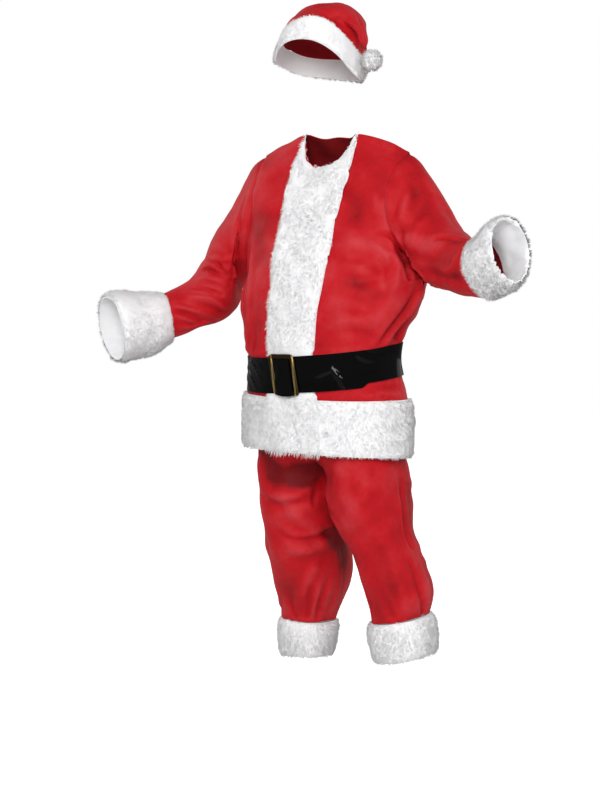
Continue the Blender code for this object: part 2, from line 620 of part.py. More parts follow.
def build_trims(joined):
    edge = BAND_COLUMNS
    width = BAND_COLUMNS + PANEL_COLUMNS

    # Front band, hem to neckline: its pile is pressed down where the belt crosses it.
    band = [strip(joined[key], np.s_[:], np.s_[width - edge:], np.s_[:edge + 1], False)
            for key in ("points", "normals")]
    pile = np.full(len(band[0]), FUR_PILE)
    pile[BELT_ROWS] = PRESSED_PILE
    pile[-1] = NECK_PILE
    fur("front_band", band[0], band[1], pile[:, None], ("left", "right"))

    # Hem band, from one edge of the front band round the back to the other edge.
    hem = [strip(joined[key], HEM_ROWS, np.s_[:width - edge + 1], np.s_[edge:], True)
           for key in ("points", "normals")]
    fur("hem_band", hem[0], hem[1], FUR_PILE, ("left", "right"))

    # Belt: a ring over the cloth and over the pressed band.
    ring = [strip(joined[key], BELT_ROWS, np.s_[:], np.s_[:], True)
            for key in ("points", "normals")]
    columns = ring[0].shape[1]
    from_end = np.minimum(np.arange(columns), np.arange(columns)[::-1])
    over_band = PRESSED_PILE + SEAM_GAP
    lift = STRAP_EASE + np.interp(from_end, (0, edge, edge + 1, edge + 2),
                                  (over_band, over_band, STRAP_STEP, 0.0))
    inner = ring[0] + ring[1] * lift[None, :, None]
    outer = inner + ring[1] * STRAP_THICKNESS
    inner[:, -1], outer[:, -1] = inner[:, 0], outer[:, 0]
    solid("belt_strap", outer, inner, "black_patent")
    build_buckle(outer)


def build_buckle(belt):
    """Slide buckle on the strap at the front: frame, hidden centre bar and the strap's end."""
    half_width, half_height = BUCKLE_WIDTH / 2, BUCKLE_HEIGHT / 2
    ahead = [k for k in range(belt.shape[1] - 1)
             if belt[1, k, 1] < 0 and abs(belt[1, k, 0] - BUCKLE_X) < half_width + BUCKLE_BAR]
    low, high = belt[0, ahead].mean(axis=0), belt[-1, ahead].mean(axis=0)
    up = unit(np.array([0.0, high[1] - low[1], high[2] - low[2]]))
    side = unit(np.array([1.0, 0.0, BUCKLE_TILT]))
    out = unit(np.cross(side, up))
    up = np.cross(out, side)
    middle = (low + high) / 2
    middle[0] = BUCKLE_X
    front = belt[:, ahead].reshape(-1, 3)
    middle += out * (np.max((front - middle) @ out) + BUCKLE_EASE)
    turn = np.array([side, up, out])
    place = Matrix.Translation((middle - np.array([0, 0, HELD_HEIGHT])) * MM)
    place @= Matrix(turn.T.tolist()).to_4x4()

    # Frame: a profile of two ridges, carried round a rectangle with rounded corners.
    corner_x = half_width - BUCKLE_BAR / 2 - BUCKLE_CORNER
    corner_y = half_height - BUCKLE_BAR / 2 - BUCKLE_CORNER
    path = []
    for k, (right, top) in enumerate(((1, 1), (-1, 1), (-1, -1), (1, -1))):
        for step in range(CORNER_STEPS + 1):
            angle = (k + step / CORNER_STEPS) * math.pi / 2
            path.append((right * corner_x + BUCKLE_CORNER * math.cos(angle),
                         top * corner_y + BUCKLE_CORNER * math.sin(angle)))
    profile = closed_line("ridge_profile", RIDGE_PROFILE)
    frame = closed_line("buckle_frame", path)
    frame.data.bevel_mode = "OBJECT"
    frame.data.bevel_object = profile
    frame.data.materials.append(MATERIALS["aged_brass"])
    frame.matrix_world = place
    profile.hide_render = True
    profile.display_type = "WIRE"

    # Centre bar: a plain rod behind the strap's end.
    rod = bmesh.new()
    radius, length = ROD_RADIUS * MM, 2 * (half_height - BUCKLE_BAR - ROD_EASE) * MM
    bmesh.ops.create_cone(rod, cap_ends=True, segments=ROD_SIDES, radius1=radius,
                          radius2=radius, depth=length)
    bmesh.ops.rotate(rod, verts=rod.verts, matrix=Matrix.Rotation(math.pi / 2, 3, "X"))
    bmesh.ops.translate(rod, verts=rod.verts, vec=(0, 0, radius + SEAM_GAP * MM))
    keep(rod, "buckle_bar", "aged_brass").matrix_world = place

    # End of the strap: over the centre bar, its lower edge hanging over the frame's lowest bar.
    cells = TONGUE_CELLS + 1
    sheet = np.zeros((cells, cells, 3))
    for i, v in enumerate(np.linspace(0, 1, cells)):
        for j, u in enumerate(np.linspace(-1, 1, cells)):
            top = half_height - BUCKLE_BAR - TONGUE_TOP_EASE
            edge = 1 - half_height - TONGUE_SAG * (1 - u * u)
            height = (TONGUE_BACK + TONGUE_RISE * ease(v / TONGUE_RISE_END)
                      + TONGUE_BULGE * (1 - u * u))
            sheet[i, j] = TONGUE_HALF_WIDTH * u, top + (edge - top) * v, height
    sheet = sheet @ turn + middle
    solid("belt_end", (sheet + out * STRAP_THICKNESS)[:, ::-1], sheet[:, ::-1], "black_patent")


def closed_line(name, points):
    """A closed flat curve through points in millimetres."""
    curve = bpy.data.curves.new(name, "CURVE")
    curve.dimensions = "2D"
    curve.fill_mode = "NONE"
    line = curve.splines.new("POLY")
    line.points.add(len(points) - 1)
    for point, (x, y) in zip(line.points, points):
        point.co = (x * MM, y * MM, 0, 1)
    line.use_cyclic_u = True
    obj = bpy.data.objects.new(name, curve)
    COSTUME.objects.link(obj)
    return obj


def keep(shape, name, material):
    """An object of a bmesh."""
    mesh = bpy.data.meshes.new(name)
    shape.to_mesh(mesh)
    shape.free()
    mesh.materials.append(MATERIALS[material])
    obj = bpy.data.objects.new(name, mesh)
    COSTUME.objects.link(obj)
    return obj


def build_trousers():
    """Two fronts, two backs and two fur cuffs, all grids with their rows running up."""
    half = LEG_COLUMNS // 2
    grids, piles = {}, {}
    for side in (-1, 1):
        leg, cuff_grid, pile = trouser_leg(side)
        turn = np.s_[::-1, ::side]
        word = side_word(side)
        grids["trouser_front_" + word] = leg[:, :half + 1][turn]
        grids["trouser_back_" + word] = leg[:, half:][turn]
        grids["leg_cuff_" + word] = cuff_grid[turn]
        piles["leg_cuff_" + word] = pile[::-1]
    names = list(grids)
    shapes = folded([grids[name] for name in names])
    for name, grid, normals in zip(names, shapes, surface_normals(shapes)):
        if name in piles:
            fur_tube(name, grid, normals, piles[name], "top")
        else:
            cloth(name, grid, normals, ("left", "right", "bottom"))


def build_cap():
    crown, _ = cap_rings("cap", CAP_ROWS)
    band, table = cap_rings("cap_band", CAP_BAND_ROWS)
    band[-1] = crown[0]
    half = CAP_COLUMNS // 2
    grids = {"cap_front": crown[:, :half + 1], "cap_back": crown[:, half:], "cap_band": band}
    normals = dict(zip(grids, surface_normals(list(grids.values()))))
    for name in ("cap_front", "cap_back"):
        cloth(name, grids[name], normals[name], ("left", "right", "bottom"))
    pile = [table.at(key)["pile"] for key in np.linspace(0, table.keys[-1], CAP_BAND_ROWS + 1)]
    fur_tube("cap_band", band, normals["cap_band"], pile, "top")
    build_pompom()


def build_pompom():
    """A ball of fur locks: each face of a round core is drawn out to a three-sided point."""
    ball = bmesh.new()
    bmesh.ops.create_icosphere(ball, subdivisions=2, radius=POMPOM_CORE * MM)
    for face in list(ball.faces):
        centre, normal = face.calc_center_median(), face.normal.copy()
        tip = bmesh.ops.poke(ball, faces=[face])["verts"][0]
        tip.co = centre + normal * LOCK_LENGTH * MM
    for vertex in ball.verts:
        vertex.co.x += POMPOM_CENTRE[0] * MM
        vertex.co.y += POMPOM_CENTRE[1] * MM
        vertex.co.z += (POMPOM_CENTRE[2] - HELD_HEIGHT) * MM
    keep(ball, "cap_pompom", "white_fur")


def make_materials():
    made = {}
    for name, (colour, roughness, metallic) in COLOURS.items():
        material = bpy.data.materials.new(name)
        material.use_nodes = True
        shader = material.node_tree.nodes["Principled BSDF"]
        shader.inputs["Base Color"].default_value = (*colour, 1.0)
        shader.inputs["Roughness"].default_value = roughness
        shader.inputs["Metallic"].default_value = metallic
        made[name] = material
    return made


for leftover in list(bpy.data.objects):
    bpy.data.objects.remove(leftover, do_unlink=True)
COSTUME = bpy.data.collections.new("santa_suit")
bpy.context.scene.collection.children.link(COSTUME)
MATERIALS = make_materials()
build_jacket()
build_trousers()
build_cap()
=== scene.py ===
import math

import bmesh
import bpy
import numpy as np
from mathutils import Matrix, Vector
from mathutils.bvhtree import BVHTree
from mathutils.kdtree import KDTree

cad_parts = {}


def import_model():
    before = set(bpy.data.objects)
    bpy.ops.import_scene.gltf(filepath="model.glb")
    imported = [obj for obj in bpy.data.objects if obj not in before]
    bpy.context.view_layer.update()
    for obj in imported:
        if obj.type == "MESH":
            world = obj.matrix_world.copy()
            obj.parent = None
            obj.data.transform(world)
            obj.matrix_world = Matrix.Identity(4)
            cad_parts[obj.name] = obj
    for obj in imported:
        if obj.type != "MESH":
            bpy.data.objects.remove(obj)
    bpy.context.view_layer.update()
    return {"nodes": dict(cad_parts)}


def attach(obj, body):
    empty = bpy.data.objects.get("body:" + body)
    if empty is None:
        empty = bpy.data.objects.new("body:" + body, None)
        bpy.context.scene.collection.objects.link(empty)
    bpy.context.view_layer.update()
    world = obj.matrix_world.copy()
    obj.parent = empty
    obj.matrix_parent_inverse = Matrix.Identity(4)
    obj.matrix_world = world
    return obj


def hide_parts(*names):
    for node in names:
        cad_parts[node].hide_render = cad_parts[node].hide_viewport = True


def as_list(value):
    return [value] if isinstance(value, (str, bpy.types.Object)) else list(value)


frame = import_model()

# ---------------------------------------------------------------- jacket cloth
# The jacket's two fronts, its back and its two sleeves, cut from red plush 2 mm thick and sewn
# at the sides, shoulders and armholes. Cloth pulls into the armpits, drags round the bent elbow
# and along the raised arm, bags over the belt and is gathered in by it.


def linear(hex_colour):
    """An sRGB hex colour as the linear RGBA that a socket takes."""
    parts = [int(hex_colour[k:k + 2], 16) / 255 for k in (1, 3, 5)]
    return (*[c / 12.92 if c <= 0.04045 else ((c + 0.055) / 1.055) ** 2.4 for c in parts], 1.0)


def add(material, kind, inputs=None, **settings):
    """A node in the material: its own settings, and each input's value or the socket it takes."""
    node = material.node_tree.nodes.new(kind)
    for name, value in settings.items():
        setattr(node, name, value)
    for name, value in (inputs or {}).items():
        if isinstance(value, bpy.types.NodeSocket):
            material.node_tree.links.new(value, node.inputs[name])
        else:
            node.inputs[name].default_value = value
    return node


def finish_named(name, colour, roughness, **sockets):
    """A material with its Principled shader set, and that shader."""
    material = bpy.data.materials.new(name)
    material.use_nodes = True
    shader = material.node_tree.nodes["Principled BSDF"]
    shader.inputs["Base Color"].default_value = linear(colour)
    shader.inputs["Roughness"].default_value = roughness
    for socket, value in sockets.items():
        shader.inputs[socket.replace("_", " ")].default_value = value
    return material, shader


NAP_PATCH, NAP_TUFT = 0.055, 0.006       # brushed patches, and the tufts in them, in metres
NAP_GRAIN = 1 / 840                      # 1.2 mm: its fibres are too fine to show
KNIT_LOOP = 1 / 600                      # 1.7 mm: drawn a little coarse, so that it shows
TUFT_SHARE, PAINTED_SHADING_SHARE = 0.25, 0.45       # how much the tufts and the painted shading of folds and streaks count; patches are 1
PLUSH_REDS = ((0.0, "#6C060D"), (0.1, "#80080F"), (0.25, "#9E0B15"), (0.5, "#B6111B"),
              (0.9, "#BE353B"))          # from painted shade and darker nap to painted highlight and lighter nap

# Brushed polyester plush is a knitted cloth whose face is a short, dense nap. The nap lies one
# way or the other in patches, which makes lighter and darker red, and it catches a soft pale
# sheen where it turns away from the eye.
plush, shader = finish_named("brushed_polyester_plush", "#BC1A20", 0.62, Sheen_Weight=0.045,
                             Sheen_Roughness=0.4, Sheen_Tint=linear("#F0909A"),
                             Specular_IOR_Level=0.14)
place = add(plush, "ShaderNodeTexCoord").outputs["Object"]
patches = add(plush, "ShaderNodeTexNoise", {"Vector": place, "Scale": 0.5 / NAP_PATCH,
                                            "Detail": 3.0, "Roughness": 0.55})
tufts = add(plush, "ShaderNodeTexNoise", {"Vector": place, "Scale": 0.5 / NAP_TUFT, "Detail": 2.0})
# The attribute read here is painted shading: it darkens the red in the folds' troughs and slack as
# painted shade, and lightens it on their ridges as painted highlight, with painted streaks of
# both.
painted_shading = add(plush, "ShaderNodeAttribute", attribute_name="painted_shading")
blend = add(plush, "ShaderNodeMath", {0: tufts.outputs["Fac"], 1: TUFT_SHARE,
                                      2: patches.outputs["Fac"]}, operation="MULTIPLY_ADD")
blend = add(plush, "ShaderNodeMath", {0: painted_shading.outputs["Fac"], 1: PAINTED_SHADING_SHARE, 2: blend.outputs[0]},
            operation="MULTIPLY_ADD")
shades = add(plush, "ShaderNodeMapRange", {"Value": blend.outputs[0], "From Min": 0.0,
                                           "From Max": 1.2})
reds = add(plush, "ShaderNodeValToRGB", {"Fac": shades.outputs[0]})
for place_on_ramp, colour in PLUSH_REDS:
    stop = reds.color_ramp.elements.new(place_on_ramp)
    stop.color = linear(colour)
reds.color_ramp.elements.remove(reds.color_ramp.elements[0])
reds.color_ramp.elements.remove(reds.color_ramp.elements[-1])
plush.node_tree.links.new(reds.outputs["Color"], shader.inputs["Base Color"])
nap = add(plush, "ShaderNodeTexNoise", {"Vector": place, "Scale": 0.5 / NAP_GRAIN, "Detail": 3.0})
bump = add(plush, "ShaderNodeBump", {"Height": nap.outputs["Fac"], "Strength": 0.35,
                                     "Distance": 0.0008})
plush.node_tree.links.new(bump.outputs[0], shader.inputs["Normal"])

# The reverse of the plush is its plain knitted ground, dull and a little darker.
reverse, shader = finish_named("plush_reverse_knit", "#8E1218", 0.9, Specular_IOR_Level=0.2)
place = add(reverse, "ShaderNodeTexCoord").outputs["Object"]
knit = add(reverse, "ShaderNodeTexNoise", {"Vector": place, "Scale": 0.5 / KNIT_LOOP,
                                           "Detail": 1.0})
bump = add(reverse, "ShaderNodeBump", {"Height": knit.outputs["Fac"], "Strength": 0.4,
                                       "Distance": 0.0006})
reverse.node_tree.links.new(bump.outputs[0], shader.inputs["Normal"])


def joined(mesh):
    """The mesh opened for editing, with its loose faces joined at their corners."""
    shape = bmesh.new()
    shape.from_mesh(mesh)
    bmesh.ops.remove_doubles(shape, verts=shape.verts, dist=1e-6)
    return shape


def outer_face(node, wall=None):
    """The outside of a node's wall, as a mesh of the quads that it was laid out in.

    A cloth wall's rim is known by its thickness, wall; a thicker one's by its sharp edges.
    """
    shape = joined(frame["nodes"][node].data)
    if wall:
        rims = [face for face in shape.faces
                if any(abs(edge.calc_length() - wall) < 3e-5 for edge in face.edges)]
        bmesh.ops.delete(shape, geom=rims, context="FACES")
    waiting, regions = set(shape.faces), []
    while waiting:
        region = {waiting.pop()}
        reached = list(region)
        while reached:
            face = reached.pop()
            for edge in face.edges:
                for other in edge.link_faces:
                    level = wall or other.normal.angle(face.normal) < math.radians(62)
                    if other in waiting and level:
                        waiting.discard(other)
                        region.add(other)
                        reached.append(other)
        regions.append(region)
    outside = max(regions, key=lambda region: sum(face.calc_area() for face in region))
    bmesh.ops.delete(shape, geom=[f for f in shape.faces if f not in outside], context="FACES")

    # Triangles of a grid have three kinds of edge, and opposite edges of two that meet are of
    # one kind. The longest kind that never lies on the border is the quads' diagonal.
    shape.faces.ensure_lookup_table()
    first = shape.faces[0]
    kinds = {edge: k for k, edge in enumerate(first.edges)}
    reached, seen = [first], {first}
    while reached:
        face = reached.pop()
        for edge in face.edges:
            for other in edge.link_faces:
                if other in seen:
                    continue
                for here, there in (edge.verts, reversed(edge.verts)):
                    match = next(e for e in face.edges if e is not edge and here in e.verts)
                    facing = next(e for e in other.edges if e is not edge and there in e.verts)
                    kinds.setdefault(facing, kinds[match])
                seen.add(other)
                reached.append(other)
    groups = [[edge for edge in kinds if kinds[edge] == k] for k in range(3)]
    inner = [group for group in groups if not any(edge.is_boundary for edge in group)]
    diagonals = max(inner, key=lambda group: sum(e.calc_length() for e in group) / len(group))
    bmesh.ops.dissolve_edges(shape, edges=diagonals)
    mesh = bpy.data.meshes.new(node)
    shape.to_mesh(mesh)
    shape.free()
    return mesh


def placed(name, data):
    """A new object of the data, put into the scene."""
    made = bpy.data.objects.new(name, data)
    bpy.context.collection.objects.link(made)
    return made


def smoothed(mesh, levels):
    """The mesh subdivided, its corners kept."""
    piece = placed(mesh.name, mesh)
    finer = piece.modifiers.new("finer", "SUBSURF")
    finer.levels = finer.render_levels = levels
    finer.boundary_smooth = "PRESERVE_CORNERS"
    return settled(piece)


def settled(piece):
    """The piece with its modifiers applied."""
    made = bpy.data.meshes.new_from_object(
        piece.evaluated_get(bpy.context.evaluated_depsgraph_get()))
    old, piece.data = piece.data, made
    made.name = piece.name
    piece.modifiers.clear()
    bpy.data.meshes.remove(old)
    return piece


def points_of(piece):
    """Where the piece's points are, a row each."""
    return np.array([vertex.co for vertex in piece.data.vertices])


def normals_of(piece):
    """The way out of the piece's surface at each of its points."""
    return np.array([normal.vector for normal in piece.data.vertex_normals])


def put(piece, points):
    """Moves the piece's points to the ones given."""
    piece.data.vertices.foreach_set("co", points.astype(np.float32).ravel())
    piece.data.update()


def tree_of(points):
    """A search tree that finds the points by their numbers."""
    tree = KDTree(len(points))
    for k, point in enumerate(points):
        tree.insert(point, k)
    tree.balance()
    return tree


def shared_normals(pieces, reach=0.009):
    """Each piece's normals, averaged over the reach with those of the pieces sewn to it."""
    points = [points_of(piece) for piece in pieces]
    normals = np.concatenate([normals_of(piece) for piece in pieces])
    tree = tree_of(np.concatenate(points))
    found = []
    for own in points:
        total = np.array([normals[[hit[1] for hit in tree.find_n(point, 7) if hit[2] < reach]
                                  ].sum(axis=0) for point in own])
        found.append(total / np.linalg.norm(total, axis=1, keepdims=True))
    return found


def ease(share):
    """The share, 0 to 1, made to start and end gently."""
    share = np.clip(share, 0.0, 1.0)
    return share * share * (3 - 2 * share)


FOLD_COLUMNS = "x0 y0 h0 x1 y1 h1 x2 y2 h2 spread depth left right start end".split()
HELD_HEIGHT = 1560.0      # base of the neck above the wearer's floor, from which h counts


def bowed(row, steps):
    """Points along the curve by a row's first three points, in millimetres."""
    ends = np.array([row[0:3], row[3:6], row[6:9]]) - (0, 0, HELD_HEIGHT)
    t = np.linspace(0, 1, steps)[:, None]
    middle = 2 * ends[1] - (ends[0] + ends[2]) / 2
    return (1 - t) ** 2 * ends[0] + 2 * t * (1 - t) * middle + t * t * ends[2]


def fold_depth(points, normals, folds):
    """How far each point moves out, for folds that each run along a curve by three points.

    spread is the fold's half width and depth how far it stands out, or in below zero. left and
    right are the ridges beside it, and start and end its depth there, as shares of depth. All
    sizes are in millimetres.
    """
    moved = np.zeros(len(points))
    for row in folds:
        fold = dict(zip(FOLD_COLUMNS, row))
        path = bowed(row, 13) / 1000
        spread = fold["spread"] / 1000
        low, high = path.min(axis=0) - 4 * spread, path.max(axis=0) + 4 * spread
        near = np.nonzero(np.all((points > low) & (points < high), axis=1))[0]
        if not len(near):
            continue
        own, out = points[near], normals[near]
        best = np.full(len(near), 1e9)
        along, side, off = np.zeros(len(near)), np.zeros(len(near)), np.zeros(len(near))
        for k in range(len(path) - 1):
            run = path[k + 1] - path[k]
            share = np.clip((own - path[k]) @ run / (run @ run), 0, 1)
            gap = own - path[k] - share[:, None] * run
            out_gap = np.sum(gap * out, axis=1)
            flat = np.sqrt(np.maximum(np.sum(gap * gap, axis=1) - out_gap ** 2, 0))
            closer = flat + np.abs(out_gap) * 0.3 < best
            best[closer] = (flat + np.abs(out_gap) * 0.3)[closer]
            along[closer] = ((k + share) / (len(path) - 1))[closer]
            off[closer] = np.abs(out_gap)[closer]
            turn = np.sum(np.cross(run, gap) * out, axis=1)
            side[closer] = (np.sign(turn) * flat / spread)[closer]
        swell = (fold["start"] * (1 - along) * (1 - 2 * along) + 4 * along * (1 - along)
                 + fold["end"] * along * (2 * along - 1))
        shape = (np.exp(-side ** 2) - fold["left"] * np.exp(-((side - 1.7) / 0.9) ** 2)
                 - fold["right"] * np.exp(-((side + 1.7) / 0.9) ** 2))
        moved[near] += (fold["depth"] / 1000 * shape * np.clip(swell, 0, 1.2)
                        * ease((0.075 - off) / 0.03))
    return moved


# How the jacket's waist and hem hang out of true, by levels above the floor in millimetres:
# how far each level rides up, how much more so to the wearer's left and to the back for each
# millimetre, and how far it stands to the wearer's right.
SWAY_LEVELS = (792, 860, 922, 953, 1041, 1085, 1135, 1170, 1216)
SWAY_UP = (3, 3, 6, 9, 5, 3, 1, 0, 0)
SWAY_UP_LEFTWARD = (0.020, 0.007, -0.010, -0.039, -0.013, -0.006, -0.002, 0.0, 0.0)
SWAY_UP_BACKWARD = (-0.030, -0.015, 0.0, 0.0, 0.0, 0.0, 0.0, 0.0, 0.0)
SWAY_ASIDE = (3, 4, 5, 5, 5, 4.5, 3, 1, 0)
BELT_TILT = (0.075, 0.118)               # how much the belt rises to the wearer's left and back
BELT_EDGES = (962, 1046)                 # levels of its lower and upper edge in front, and how
BELT_EDGE_RISES = (0.036, 0.062)         # much each rises to the wearer's left


def swayed(points):
    """Points of the jacket, or of what it carries, moved with its waist and hem."""
    x, y, height = (points * 1000 + (0, 0, HELD_HEIGHT)).T
    hold = np.interp(height, (900, 960, 1060, 1170), (0, 1, 1, 0))
    level = height - hold * (BELT_TILT[0] * x + BELT_TILT[1] * y)
    up, leftward, backward, aside = (
        np.interp(level, SWAY_LEVELS, values)
        for values in (SWAY_UP, SWAY_UP_LEFTWARD, SWAY_UP_BACKWARD, SWAY_ASIDE))
    moved = points.copy()
    moved[:, 2] += (up + leftward * x + backward * y) / 1000
    moved[:, 0] -= aside / 1000
    return moved


def free_of_belt(points):
    """0 for points that the belt holds down, rising to 1 at 17 mm beyond its edges."""
    x, y, height = (points * 1000 + (0, 0, HELD_HEIGHT)).T
    level = height - BELT_TILT[1] * y
    below = BELT_EDGES[0] + BELT_EDGE_RISES[0] * x - level
    above = level - BELT_EDGES[1] - BELT_EDGE_RISES[1] * x
    return ease((np.maximum(below, above) + 3) / 20)


def ripples(points, seed, wave, height):
    """Soft uneven swells: waves of many directions, wave metres long and height metres high."""
    chance = np.random.default_rng(seed)
    total = np.zeros(len(points))
    count = 14
    for _ in range(count):
        way = chance.normal(size=3)
        way /= np.linalg.norm(way)
        length = wave * chance.uniform(0.7, 1.5)
        total += np.sin(points @ way * 2 * math.pi / length + chance.uniform(0, 6.28))
    return total * height / math.sqrt(count / 2)


def seam_groove(pieces):
    """How far each piece's points sink towards the seams where two of the pieces meet.

    A seam lies 1.4 mm deep, with a low ridge 11 mm beside it.
    """
    edges = []
    for k, piece in enumerate(pieces):
        shape = bmesh.new()
        shape.from_mesh(piece.data)
        edges += [(vertex.co.copy(), k) for vertex in shape.verts if vertex.is_boundary]
        shape.free()
    tree = tree_of([point for point, _ in edges])
    seams = tree_of([point for point, owner in edges
                     if any(edges[hit[1]][1] != owner for hit in tree.find_range(point, 0.006))])
    sunk = []
    for piece in pieces:
        away = np.array([seams.find(vertex.co)[2] for vertex in piece.data.vertices])
        sunk.append(-0.0014 * np.exp(-(away / 0.0045) ** 2)
                    + 0.0006 * np.exp(-((away - 0.011) / 0.006) ** 2))
    return sunk


def painted_streak_light(points, painted_streaks):
    """How much lighter or darker the plush is painted, as painted highlight and painted shade, in
    streaks along curves by three points.
    """
    total = np.zeros(len(points))
    for row in painted_streaks:
        path = bowed(row, 9)
        gap = np.linalg.norm(points[:, None] * 1000 - path[None], axis=2).min(axis=1)
        uneven = gap * (1 + np.clip(ripples(points, 201, 0.05, 0.1), -0.15, 0.15))
        total += row[10] * np.exp(-(uneven / row[9]) ** 2)
    return total


def record(piece, name, values):
    """Stores a value for each of the piece's points, which its material reads by the name."""
    attribute = piece.data.attributes.new(name, "FLOAT", "POINT")
    attribute.data.foreach_set("value", np.asarray(values, np.float32).ravel())


def cloth_from(piece):
    """A closed cloth wall under the piece's surface: plush outside and its reverse inside."""
    piece.data.materials.clear()
    piece.data.materials.append(plush)
    piece.data.materials.append(reverse)
    wall = piece.modifiers.new("wall", "SOLIDIFY")
    wall.thickness = PLUSH_WALL
    wall.offset = -1.0
    wall.material_offset = 1
    settled(piece)
    piece.data.shade_smooth()
    piece.data.set_sharp_from_angle(angle=math.radians(50))


